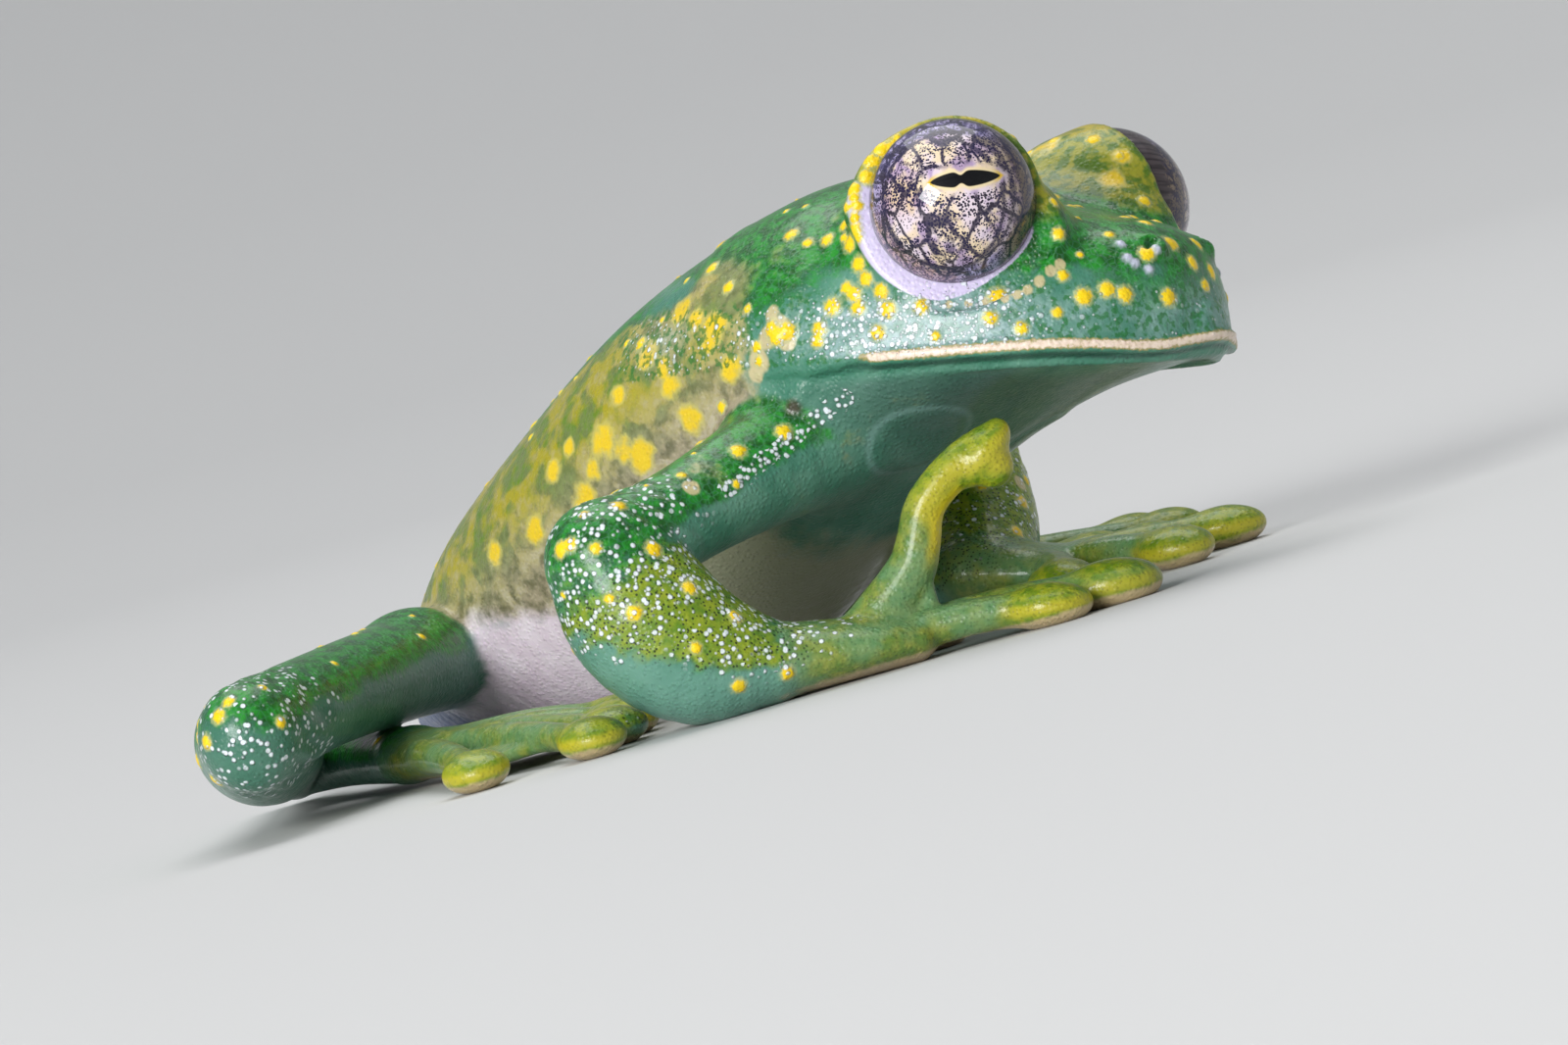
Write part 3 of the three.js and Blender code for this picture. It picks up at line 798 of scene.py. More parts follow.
def seen_at(places, normals, pixels):
    """The corners of the skin that the photograph's camera sees at its pixels."""
    x, y, depth = in_picture(places)
    facing = normals @ np.array(camera_axes()[2]) > 0.1
    found = []
    for px, py, *_ in pixels:
        close = (np.hypot(x - px, y - py) < SEEN_WITHIN) & facing
        if close.any():
            found.append(places[np.where(close, depth, np.inf).argmin()])
    return np.array(found)


def scattered(places, chance, apart, count):
    """Places drawn at random from the corners of the skin by their chance, no two closer than apart."""
    drawn = min(count * 12, int((chance > 0).sum()))
    order = rng.choice(len(places), size=drawn, replace=False, p=chance / chance.sum())
    kept = np.empty((0, 3))
    for place in places[order]:
        if len(kept) >= count:
            break
        if not len(kept) or np.min(((kept - place) ** 2).sum(1)) > apart**2:
            kept = np.vstack([kept, place])
    return kept


def spot_ratio(places, spots, radii):
    """How many of its own radii each place is from the nearest spot, up to 3."""
    best = np.full(len(places), 3.0)
    for spot, radius in zip(spots, radii):
        near = np.abs(places - spot).max(1) < radius * 3
        ratio = np.sqrt(((places[near] - spot) ** 2).sum(1)) / radius
        best[near] = np.minimum(best[near], ratio)
    return best


def eye_masks(h, head):
    """The lower lid, the rim above each eye and the mound round it, for places in the head's frame."""
    lid, rim, mound = (np.zeros(len(h)) for _ in range(3))
    for side in SIDES.values():
        out = looking_out(side, LID_TURN, LID_LIFT) @ np.array(HEAD_TURN)
        along = unit(np.array([1.0, 0.0, 0.0]) - out * out[0])
        above = np.cross(out, along)
        above = above * np.sign(above[2])
        offset = h - np.array(eye_centre(side))
        far, ahead, over = offset @ out, offset @ along, offset @ above
        edge = np.hypot(ahead, over) - EYE_RADIUS
        near = head * ramp(far, -0.9, -0.5)
        width = 0.06 + 0.34 * ramp(-ahead - 0.6 * over, -0.3, 1.9)
        lower = fade(over + 0.25 * ahead, -0.35, 0.15) * fade(edge, width - 0.05, width + 0.07)
        lid = np.maximum(lid, near * lower)
        high = ramp(over - 0.4 * ahead, -0.3, 0.3) * fade(ahead, 0.2, 1.2)
        rim = np.maximum(rim, near * high * fade(edge, 0.1, 0.55))
        apart = np.linalg.norm(offset, axis=1) - EYE_RADIUS
        mound = np.maximum(mound, head * fade(apart, 0.3, 0.9) * ramp(over, -0.9, 0.4))
    return {"lid": lid, "rim": rim * (1 - lid), "mound": mound * (1 - lid)}


def skin_masks(places, normals):
    """Shares from 0 to 1 that say where on the body each corner of the skin is."""
    groups = {
        "upper": ["upper_arm"],
        "fore": ["forearm"],
        "hand": ["hand", *(f"finger_{i}" for i in range(1, 5))],
        "thigh": ["thigh"],
        "shank": ["shank", "tarsus"],
        "foot": ["foot", *(f"toe_{i}" for i in range(1, 6))],
    }
    found = {"head": nearest_of(places, ["head", "jaw"], **HEAD_SHAPE)}
    found["trunk"] = nearest_of(places, ["trunk"])
    for name, kinds in groups.items():
        found[name] = nearest_of(places, [f"{kind}_{side}" for kind in kinds for side in SIDES])
    weight = {name: np.exp(-np.maximum(distance, -0.2) / 0.2) for name, (distance, _) in found.items()}
    total = sum(weight.values())
    part = {name: w / total for name, w in weight.items()}
    head, trunk, fore, foot = (part[name] for name in ("head", "trunk", "fore", "foot"))
    leg = part["thigh"] + part["shank"]
    x, z, up = places[:, 0], places[:, 2], normals[:, 2]
    h = in_head(places)
    behind, level = -h[:, 0], h[:, 2]

    climb = 0.22 * np.clip(behind - 4, 0, 4)
    crown = ramp(level, 1.2 + climb, 2.0 + climb)
    lore = ramp(level, 0.3, 1.0) * fade(behind, 3.2, 5.0) * 0.55
    rise = found["trunk"][1]
    green = head * np.maximum(crown, lore) + trunk * ramp(rise + 0.35 * ramp(x, 3.5, 7.5), 0.55, 0.88)
    green += part["upper"] * np.maximum(ramp(found["upper"][1], -0.25, 0.45), ramp(up, 0.3, 0.8))
    green += fore * ramp(up, -0.55, 0.15) * 0.9 + leg * ramp(up, -0.4, 0.5) * 0.8 + foot * 0.15
    low = rise - 0.42 * ramp(-x, -3.0, 3.5)
    flank = trunk * ramp(low, -0.62, -0.2) * fade(rise, 0.62, 0.92)
    belly = trunk * fade(low, -0.6, -0.2) * fade(x, 5.0, 8.0)
    elbows = apart_from(places, [one["elbow"] for one in ARMS.values()])
    wrist = apart_from(places, [ARMS["right"]["wrist"]])
    knees = apart_from(places, [one["knee"] for one in LEGS.values()])
    tips = [tip for limbs in (ARMS, LEGS) for one in limbs.values() for tip in one["tips"]]
    disc = apart_from(places, [*tips, LIFTED_TIP])
    lifted = np.exp(-np.maximum(nearest_of(places, ["finger_2_right"])[0], 0) / 0.15)
    lit = ramp(normals @ np.array(camera_axes()[0]), 0.25, 0.7)
    mouth = level + droop(h[:, 1])
    face = head * fade(level, 0.9, 1.8) * ramp(mouth, 0.05, 0.3)
    return eye_masks(h, head) | {
        "green": np.clip(green, 0, 1),
        "flank": np.clip(flank * 1.4, 0, 1) * fade(x, 7.0, 9.0),
        "belly": np.clip(belly * 1.2, 0, 1),
        "rear": ramp(-x, 2.0, 6.0),
        "breast": ramp(x, 0.5, 3.5),
        "upper": trunk * ramp(rise, -0.15, 0.45),
        "hand": np.clip(part["hand"] + foot * 0.85, 0, 1),
        "disc": fade(disc, 0.7, 1.15),
        "disc_rim": fade(disc, 0.8, 1.2) * fade(np.abs(up), 0.15, 0.6),
        "fore": fore * ramp(up, -0.45, 0.1) * ramp(elbows, 0.8, 1.8),
        "arm": fore * fade(up, -0.3, 0.3),
        "elbow": (fore + part["upper"]) * fade(elbows, 1.6, 2.8) * ramp(up, -0.6, 0.0),
        "leg": leg,
        "wrist": (fore + part["hand"]) * fade(wrist, 1.0, 2.6) * ramp(up, -0.7, -0.1),
        "knee": leg * fade(knees, 1.5, 3.0),
        "fringe": np.clip(part["hand"] + foot, 0, 1) * fade(z, 0.12, 0.4),
        # painted light: a yellow edge on the side of the lifted finger that faces the camera's right
        "painted_lit_edge": lifted * lit * ramp(z, 1.6, 2.4),
        "throat": head * fade(mouth, -0.45, -0.15),
        "lip": head * fade(np.abs(mouth - 0.13), 0.02, 0.19) * fade(behind, 5.6, 6.3),
        # painted shadow along the mouth, just under the overhang of the upper lip
        "slit": head * fade(np.abs(mouth + 0.08), 0.02, 0.07) * fade(behind, 5.8, 6.6),
        "cheek": face * (0.45 + 0.55 * ramp(behind, 1.6, 3.6)),
        "grainy": face * (0.12 + 0.88 * ramp(behind, 1.8, 3.8)),
    }


def head_mirrored(spots):
    """Spots of one side of the head on its other side, a little out of place."""
    own = in_head(spots)
    own = (own + rng.normal(0, 0.15, own.shape)) * (1, -1, 1)
    return own @ np.array(HEAD_TURN).T + np.array(SNOUT_TIP)


# Folds behind the corners of the mouth, in the head's frame: a line, its half width, and how far it rises
FOLDS = [
    ([(-5.9, 4.1, 3.4), (-6.9, 4.4, 2.6), (-7.6, 4.6, 1.5), (-7.9, 4.6, 0.6)], 0.3, 0.1),
    ([(-5.9, 4.5, 0.0), (-6.6, 4.5, -0.4), (-7.1, 4.4, -1.0)], 0.16, -0.09),
    ([(-6.3, 4.6, 0.35), (-7.0, 4.6, 0.0), (-7.6, 4.5, -0.6)], 0.2, 0.06),
]
CREASES, CREASE_RISE = 0.42, 0.035


def folds(places):
    """How far the skin rises or sinks, in mm, in the folds behind the head and in the bends of the limbs."""
    h = in_head(places)
    h[:, 1] = np.abs(h[:, 1])
    total = np.zeros(len(places))
    for points, width, rise in FOLDS:
        line = smooth_line([station(p, width) for p in points], 8)[:, :3]
        total += rise * fade(apart_from(h, line) / width, 0.2, 1.6)
    for limbs, joints in ((ARMS, ("shoulder", "elbow", "wrist")), (LEGS, ("hip", "knee", "heel"))):
        for one in limbs.values():
            start, bend, end = (np.array(one[joint]) for joint in joints)
            offset = places - bend
            inside = offset @ unit(unit(start - bend) + unit(end - bend))
            share = fade(np.linalg.norm(offset, axis=1), 1.2, 2.8) * ramp(inside, -0.2, 0.6)
            total += CREASE_RISE * share * np.sin(offset @ unit(end - start) * 2 * math.pi / CREASES)
    return total


def detailed_skin(places, faces):
    """The skin as an object with its spots raised and its masks stored at its corners."""
    normals = corner_normals(places, faces)
    masks = skin_masks(places, normals)

    def on_other_side(spots):
        spots = head_mirrored(spots)
        return places[[((places - spot) ** 2).sum(1).argmin() for spot in spots]]

    def ratio_to(seen, mirrored=None):
        """How many radii each corner is from the nearest of the marks seen in the photograph."""
        marks, radii = seen_at(places, normals, seen), [row[2] for row in seen]
        if mirrored:
            marks, radii = np.concatenate([marks, mirrored(marks)]), radii * 2
        return spot_ratio(places, marks, radii)

    head, rim, body = (
        seen_at(places, normals, seen) for seen in (HEAD_SPOTS_SEEN, RIM_SPOTS_SEEN, BODY_SPOTS_SEEN)
    )
    other_rim = on_other_side(rim)
    spots = np.concatenate([head, rim, body, on_other_side(head), other_rim])
    radii = rng.uniform(*SEEN_RADII, len(spots))
    chance = masks["green"] * (1 - masks["hand"]) * (1 - masks["lid"]) * ramp(places[:, 2], 1.0, 2.0)
    others = scattered(places, chance, OTHERS_APART, OTHERS_MOST)
    others = others[apart_from(others, spots) > SEEN_APART]
    radii = np.concatenate([radii, rng.uniform(*OTHER_RADII, len(others))])
    spot = spot_ratio(places, np.concatenate([spots, others]), radii)
    patch = ratio_to(PATCHES_SEEN, lambda marks: marks * (1, -1, 1))
    cream, throat, lump = (ratio_to(seen, on_other_side) for seen in (CREAM_SEEN, THROAT_SEEN, LUMPS_SEEN))
    row = seen_at(places, normals, GLINT_GRANULES_SEEN)
    row = [between(a, b, share) for a, b in zip(row[:-1], row[1:]) for share in (0, 0.25, 0.5, 0.75)]
    masks |= {
        "spot": spot,
        "patch": fade(patch, 0.3, 1.3),
        "cream": fade(cream, 0.4, 1.5),
        "sac": fade(np.abs(throat - 1), 0.01, 0.12),
        # the row of white granules on the upper arm, partly painted highlights
        "band": fade(spot_ratio(places, row, [GLINT_GRANULES_RADIUS] * len(row)), 0.7, 1.5),
        "lump": fade(lump, 0.6, 1.3),
        "mark": fade(ratio_to(MARK_SEEN), 0.5, 1.3),
    }
    raised = SPOT_RISE * fade(spot, 0.2, 1.3) + THROAT_RISE * fade(throat, 0.75, 1.15)
    raised += LUMP_RISE * fade(lump, 0.3, 1.5) + folds(places)
    skin = mesh_object("skin", places + normals * raised[:, None], faces)
    for name, values in masks.items():
        layer = skin.data.attributes.new(name, "FLOAT", "POINT")
        layer.data.foreach_set("value", values.astype(np.float32))
    return skin


# Materials

class Value:
    """The output of a node. Sums, differences and products of it are outputs of further nodes."""

    def __init__(self, nodes, socket):
        self.nodes, self.socket = nodes, socket

    def __add__(self, other):
        return self.nodes.maths("ADD", self, other)

    def __sub__(self, other):
        return self.nodes.maths("SUBTRACT", self, other)

    def __rsub__(self, other):
        return self.nodes.maths("SUBTRACT", other, self)

    def __mul__(self, other):
        return self.nodes.maths("MULTIPLY", self, other)

    def other(self, name):
        """Another output of the same node."""
        return Value(self.nodes, self.socket.node.outputs[name])


class Nodes:
    """A material's nodes, made one at a time and joined by handing one's output to the next."""

    def __init__(self, name):
        self.material = bpy.data.materials.new(name)
        self.material.use_nodes = True
        self.tree = self.material.node_tree

    def plug(self, socket, value):
        if isinstance(value, Value):
            self.tree.links.new(value.socket, socket)
        elif isinstance(value, tuple) and socket.type == "RGBA":
            socket.default_value = (*value, 1)
        else:
            socket.default_value = value

    def add(self, kind, inputs, output=0, **settings):
        """One of the outputs of a new node, some of whose inputs and settings are given."""
        node = self.tree.nodes.new(kind)
        for name, value in settings.items():
            setattr(node, name, value)
        for name, value in inputs.items():
            self.plug(node.inputs[name], value)
        return Value(self, node.outputs[output])

    def finish(self, **inputs):
        shader = self.tree.nodes["Principled BSDF"]
        for name, value in inputs.items():
            self.plug(shader.inputs[name.replace("_", " ")], value)
        return self.material

    def maths(self, operation, *values):
        return self.add("ShaderNodeMath", dict(enumerate(values)), operation=operation)

    def vectors(self, operation, first, second):
        inputs = {0: first, "Scale" if operation == "SCALE" else 1: second}
        return self.add("ShaderNodeVectorMath", inputs, operation=operation)

    def part(self, vector, i):
        return self.add("ShaderNodeSeparateXYZ", {0: vector}, i)

    def step(self, value, low, high, bottom=0.0, top=1.0):
        """A smooth step of a value, from bottom at low to top at high."""
        inputs = {0: value, 1: low, 2: high, 3: bottom, 4: top}
        return self.add("ShaderNodeMapRange", inputs, interpolation_type="SMOOTHSTEP")

    def mix(self, share, under, over):
        return self.add("ShaderNodeMix", {0: share, 6: under, 7: over}, 2, data_type="RGBA")

    def blend(self, value, low, high, colours):
        """The first of two colours where a value is low, and the second where it is high."""
        return self.mix(self.step(value, low, high), *colours)

    def coat(self, under, over, value, low, high, top=1.0):
        """One colour over another where a value is high, to a share of no more than top."""
        return self.mix(self.step(value, low, high, 0.0, top), under, over)

    def mask(self, name):
        return self.add("ShaderNodeAttribute", {}, "Fac", attribute_name=name)

    def millimetres(self):
        return self.vectors("SCALE", self.add("ShaderNodeTexCoord", {}, "Object"), 1 / MM)

    def noise(self, place, scale, detail=2.0, warp=0.0):
        inputs = {"Vector": place, "Scale": scale, "Detail": detail, "Distortion": warp}
        return self.add("ShaderNodeTexNoise", inputs)

    def cells(self, place, scale, feature="F1"):
        """The distance of places from the middle or the edge of the cell that they are in."""
        inputs = {"Vector": place, "Scale": scale}
        return self.add("ShaderNodeTexVoronoi", inputs, "Distance", feature=feature)

    def bump(self, height, depth, normal=None):
        """Relief of a height from 0 to 1 that stands for a depth in mm."""
        inputs = {"Height": height, "Distance": depth * MM}
        if normal is not None:
            inputs["Normal"] = normal
        return self.add("ShaderNodeBump", inputs)


class SkinNodes(Nodes):
    """The nodes of the skin, with the noises that its patterns share."""

    def __init__(self, name):
        super().__init__(name)
        self.place = self.millimetres()
        self.broad = self.noise(self.place, 0.9, 3.0)
        self.fine = self.noise(self.place, 4.0, 3.0)
        self.grit = self.noise(self.place, 12.0)
        slow = self.noise(self.place, 0.38, 1.0)
        self.wobble = (self.broad - 0.5) * 0.9 + (self.fine - 0.5) * 0.5
        self.drift = self.wobble + (slow - 0.5) * 0.9

    def ragged(self, name, share=1.0):
        """A mask with its edge made uneven."""
        return self.mask(name) + self.wobble * share


# The colours of the skin: the darker and the lighter of two, or one alone
CLEAR = (0.05, 0.20, 0.13), (0.11, 0.28, 0.20)
THROAT = (0.035, 0.09, 0.07), (0.085, 0.17, 0.14)
LEG = (0.05, 0.15, 0.10)
LEAF = (0.004, 0.085, 0.005), (0.014, 0.24, 0.018)
RIM = (0.36, 0.32, 0.01), (0.72, 0.45, 0.006)
MOUND = (0.10, 0.18, 0.01), (0.36, 0.32, 0.02)
TAUPE = (0.15, 0.14, 0.08), (0.36, 0.31, 0.21)
FLANK_CLOUD, FLANK_CREAM = (0.42, 0.37, 0.16), (0.46, 0.42, 0.36)
FLANK_TOP = (0.10, 0.20, 0.008), (0.34, 0.30, 0.012)
PATCH = (0.52, 0.46, 0.12), (0.74, 0.52, 0.012)
BELLY, BELLY_REAR, BREAST = ((0.68, 0.58, 0.66), (0.78, 0.71, 0.77)), (0.09, 0.13, 0.26), (0.26, 0.29, 0.14)
HAND, HAND_GREEN = ((0.10, 0.19, 0.03), (0.24, 0.28, 0.045)), (0.11, 0.26, 0.13)
DISC, DISC_RIM = ((0.13, 0.22, 0.008), (0.28, 0.32, 0.012)), (0.46, 0.40, 0.02)
UNDER_ARM, CHEEK, MOTTLE = (0.16, 0.34, 0.27), ((0.15, 0.29, 0.25), (0.31, 0.44, 0.45)), (0.012, 0.15, 0.02)
FOREARM, FOREARM_DOT = ((0.12, 0.24, 0.015), (0.30, 0.34, 0.015)), (0.008, 0.02, 0.006)
# The second of these is painted light, the yellow edge on the lifted finger
FRINGE, PAINTED_LIT_EDGE, CREAM = (0.56, 0.42, 0.26), (0.62, 0.50, 0.01), (0.60, 0.50, 0.28)
# The third of these is painted shadow under the lip
LUMP, MARK, PAINTED_LIP_SHADOW, SAC = (0.52, 0.54, 0.66), (0.05, 0.03, 0.02), (0.01, 0.04, 0.03), (0.26, 0.42, 0.40)
LIP_EDGE, LIP_LINE, LID = (0.46, 0.33, 0.10), ((0.62, 0.46, 0.32), (0.88, 0.76, 0.68)), (0.62, 0.56, 0.76)
# The last of these is the white of the granules, partly painted highlights
SPOT_EDGE, SPOT, GRAIN_AND_GLINT = (0.55, 0.56, 0.25), (0.86, 0.60, 0.006), (0.80, 0.86, 0.90)


def paint_back(n):
    """Clear skin, with the green of the back over it in small cells that have clearer lines between them."""
    colour = n.blend(n.broad, 0.35, 0.65, CLEAR)
    colour = n.mix(n.mask("throat") * 0.8, colour, n.mix(n.broad, *THROAT))
    colour = n.mix(n.mask("leg") * 0.6, colour, LEG)
    net = n.cells(n.place, 6.5, "DISTANCE_TO_EDGE")
    green = n.step(n.mask("green") + n.drift, 0.28, 0.66) * n.step(net, 0.02, 0.12, 0.72, 1.0)
    colour = n.mix(green, colour, n.blend(n.fine, 0.35, 0.65, LEAF))
    colour = n.coat(colour, RIM[0], n.ragged("rim"), 0.2, 0.75)
    colour = n.coat(colour, RIM[1], n.ragged("rim"), 0.6, 0.95)
    mound = n.step(n.ragged("mound", 0.7), 0.2, 0.8) * 0.85
    return n.mix(mound, colour, n.blend(n.fine, 0.4, 0.6, MOUND))


def paint_flanks(n, colour):
    """Cream and yellow clouds on a ground of taupe, and brighter patches."""
    cloud = n.noise(n.place, 1.3, 4.0, 0.5)
    flank = n.coat(n.blend(n.fine, 0.3, 0.7, TAUPE), FLANK_CLOUD, cloud, 0.45, 0.66)
    flank = n.mix(n.step(cloud + n.grit * 0.3, 0.6, 0.85) * 0.7, flank, FLANK_CREAM)
    upper = n.mask("upper") * n.step(n.fine + cloud * 0.5, 0.55, 0.9, 0.55, 1.0)
    flank = n.mix(upper, flank, n.blend(cloud, 0.4, 0.6, FLANK_TOP))
    colour = n.coat(colour, flank, n.mask("flank") + n.drift, 0.22, 0.62)
    torn = (n.noise(n.place, 2.6) - 0.5) * 1.5
    patch = n.ragged("patch", 0.8) + torn * n.step(n.mask("patch"), 0.0, 0.3)
    colour = n.coat(colour, PATCH[0], patch, 0.1, 0.6, 0.8)
    return n.coat(colour, PATCH[1], patch, 0.45, 0.95, 0.95)


def paint_belly(n, colour):
    """The white sheet of the belly, blue where it thins towards the rear."""
    pale = n.blend(n.broad, 0.3, 0.7, BELLY)
    pale = n.coat(pale, BELLY_REAR, n.ragged("rear"), 0.35, 0.9)
    pale = n.coat(pale, BREAST, n.ragged("breast"), 0.2, 0.9, 0.85)
    return n.coat(colour, pale, n.ragged("belly"), 0.18, 0.85)


def paint_limbs(n, colour):
    """Hands and feet with their discs, then the cheeks, and the forearms with their dark dots."""
    hand = n.blend(n.fine, 0.3, 0.7, HAND)
    hand = n.coat(hand, HAND_GREEN, n.broad, 0.4, 0.6, 0.6)
    hand = n.mix(n.mask("disc"), hand, n.blend(n.fine, 0.35, 0.65, DISC))
    hand = n.mix(n.mask("disc_rim") * 0.8, hand, DISC_RIM)
    colour = n.coat(colour, hand, n.mask("hand"), 0.25, 0.75)
    colour = n.mix(n.mask("arm") * (1.0 - n.mask("fore")) * 0.6, colour, UNDER_ARM)
    colour = n.coat(colour, n.blend(n.fine, 0.35, 0.65, CHEEK), n.ragged("cheek", 0.6), 0.15, 0.85, 0.9)
    mottle = n.step(n.noise(n.place, 6.5, 4.0), 0.48, 0.6) * n.step(n.mask("grainy"), 0.02, 0.1)
    colour = n.mix(mottle * n.step(n.mask("grainy"), 0.3, 0.9, 0.75, 0.2), colour, MOTTLE)
    fore = n.step(n.ragged("fore"), 0.3, 0.8) * 0.85
    colour = n.mix(fore, colour, n.blend(n.fine, 0.3, 0.7, FOREARM))
    dots = n.step(n.cells(n.place, 11.0), 0.22, 0.36, 1.0, 0.0)
    dotted = n.step(n.mask("fore") + n.mask("hand") * 0.32, 0.15, 0.6, 0.0, 0.9)
    return n.mix(dots * dotted, colour, FOREARM_DOT)


def paint_marks(n, colour):
    """The fringe under the fingers, painted light in yellow on the side of the lifted one that faces the
    camera's right, then marks, a painted shadow under the lip, lips, throat and lids.
    """
    colour = n.coat(colour, FRINGE, n.ragged("fringe"), 0.45, 0.9, 0.8)
    # painted light on the side of the lifted finger that faces the camera's right
    colour = n.mix(n.mask("painted_lit_edge") * 0.9, colour, PAINTED_LIT_EDGE)
    colour = n.coat(colour, CREAM, n.ragged("cream"), 0.25, 0.75, 0.85)
    colour = n.mix(n.mask("lump"), colour, LUMP)
    colour = n.mix(n.mask("mark") * n.step(n.fine, 0.3, 0.5, 0.4, 0.9), colour, MARK)
    # painted shadow: a dark line under the overhang of the upper lip
    colour = n.mix(n.mask("slit") * 0.6, colour, PAINTED_LIP_SHADOW)
    lip = n.mask("lip") + (n.grit - 0.5) * 0.8
    colour = n.coat(colour, LIP_EDGE, lip, 0.3, 0.6, 0.7)
    colour = n.coat(colour, n.mix(n.grit, *LIP_LINE), lip, 0.55, 0.9)
    colour = n.mix(n.mask("sac") * 0.35, colour, SAC)
    return n.coat(colour, LID, n.mask("lid"), 0.3, 0.7)


def white_grains_and_glints(n):
    """Where white granules lie, partly painted highlights: large ones on the face, arms and knees, and small
    ones on the face.
    """
    large = n.cells(n.place, 7.5)
    where = (n.mask("grainy") * 0.75 + n.mask("elbow") * 0.6) * n.step(n.broad, 0.4, 0.6, 0.5, 1.0)
    for name, share in (("fore", 0.22), ("knee", 0.45), ("band", 1.1), ("wrist", 0.55)):
        where = where + n.mask(name) * share
    chosen = n.step(n.part(large.other("Color"), 0) + where, 1.02, 1.12)
    small = n.cells(n.place, 13.0)
    where = n.mask("grainy") * 0.7 + n.mask("fore") * 0.15
    lucky = n.step(n.part(small.other("Color"), 1) + where, 1.0, 1.1)
    large, small = n.step(large, 0.32, 0.55, 1.0, 0.0), n.step(small, 0.3, 0.5, 0.8, 0.0)
    return n.maths("MAXIMUM", large * chosen, small * lucky)


def skin_material():
    n = SkinNodes("glass_skin")
    colour = paint_marks(n, paint_limbs(n, paint_belly(n, paint_flanks(n, paint_back(n)))))
    spot = n.mask("spot") + (n.grit - 0.5) * 0.9
    colour = n.mix(n.step(spot, 0.9, 1.5, 0.55, 0.0), colour, SPOT_EDGE)
    colour = n.mix(n.step(spot, 0.65, 1.05, 1.0, 0.0), colour, SPOT)
    grain = white_grains_and_glints(n)
    # white granules, partly painted highlights
    colour = n.mix(grain * 0.9, colour, GRAIN_AND_GLINT)
    relief = n.bump(grain, 0.05)
    relief = n.bump(n.step(n.cells(n.place, 9.0), 0.1, 0.6, 1.0, 0.0), 0.012, relief)
    relief = n.bump(n.grit, 0.01, relief)
    relief = n.bump(n.step(spot, 0.3, 1.2, 1.0, 0.0), 0.03, relief)
    return n.finish(
        Base_Color=colour, Roughness=n.step(n.fine, 0.3, 0.7, 0.3, 0.45), Normal=relief,
        Subsurface_Weight=0.3, Subsurface_Radius=(0.7, 1.0, 0.6), Subsurface_Scale=0.0005,
        Coat_Weight=0.3, Coat_Roughness=0.14, Specular_IOR_Level=0.3,
    )


# The iris: the way that it looks, in degrees, and places on it in radii of the eye, x ahead and y up
IRIS_TURN, IRIS_LIFT = 63, -1
PUPIL_ASIDE, PUPIL_UP = 0.19, 0.225
PUPIL_HALF_LENGTH, PUPIL_HALF_HEIGHT = 0.41, 0.098
PUPIL_POWER, PUPIL_TILT = 0.72, 0.03
NOTCH_ASIDE, NOTCH_WIDTH, NOTCH_DEPTH = -0.045, 0.055, 0.5
IRIS, LILAC = ((0.76, 0.61, 0.42), (0.72, 0.61, 0.68)), (0.34, 0.24, 0.44)
BAND, BAND_LOW = ((0.06, 0.05, 0.18), (0.40, 0.35, 0.60)), ((0.14, 0.06, 0.07), (0.60, 0.38, 0.34))
BAND_AHEAD, SHADE = ((0.08, 0.06, 0.05), (0.30, 0.22, 0.14)), (0.12, 0.085, 0.06)
INK, RUST = ((0.012, 0.009, 0.045), (0.02, 0.014, 0.03)), (0.40, 0.20, 0.10)
GOLD, GOLD_ENDS, PUPIL = (0.78, 0.64, 0.38), (0.62, 0.40, 0.01), (0.001, 0.001, 0.002)
EDGE, EDGE_AHEAD = (0.010, 0.006, 0.018), ((0.018, 0.012, 0.016), (0.085, 0.066, 0.07))


class EyeNodes(Nodes):
    """The nodes of the eye, with the noises and the places that its patterns share."""

    def __init__(self, name):
        super().__init__(name)
        self.place = self.millimetres()
        self.x, self.y = (self.part(self.place, i) * (1 / EYE_RADIUS) for i in (0, 1))
        self.off = self.length(self.x, self.y)
        self.wave = self.noise(self.place, 1.6, 3.0)
        self.jitter = self.noise(self.place, 9.0)
        self.unevenly = (self.wave - 0.5) * 0.16 + (self.jitter - 0.5) * 0.05
        fan = {0: self.maths("ARCTAN2", self.y, self.x) * 5.0, 1: self.off * 2.0}
        self.streaks = self.noise(self.add("ShaderNodeCombineXYZ", fan), 3.0, 3.0)

    def length(self, x, y):
        return self.maths("SQRT", x * x + y * y)

    def most(self, *values):
        most = values[0]
        for value in values[1:]:
            most = self.maths("MAXIMUM", most, value)
        return most

    def circle(self, x, y, radius=0.0):
        """How far a place is from a circle about a point of the iris."""
        return self.maths("ABSOLUTE", self.length(self.x - x, self.y - y) - radius)


def beyond_pupil(n):
    """How far a place is outside the pupil, a slit of two lobes, and how far along it from its middle."""
    x, y = n.x - PUPIL_ASIDE, n.y - PUPIL_UP
    along = x * (1 / PUPIL_HALF_LENGTH)
    swell = n.most(1.0 - along * along, 0.0)
    notch = (x - NOTCH_ASIDE) * (1 / NOTCH_WIDTH)
    notch = n.maths("EXPONENT", notch * notch * -1.0)
    height = n.maths("POWER", swell, PUPIL_POWER) * PUPIL_HALF_HEIGHT * (1.0 - notch * NOTCH_DEPTH)
    from_middle = n.maths("ABSOLUTE", x)
    from_line = n.maths("ABSOLUTE", y - x * PUPIL_TILT)
    return from_line - height + n.most(from_middle - PUPIL_HALF_LENGTH, 0.0), from_middle


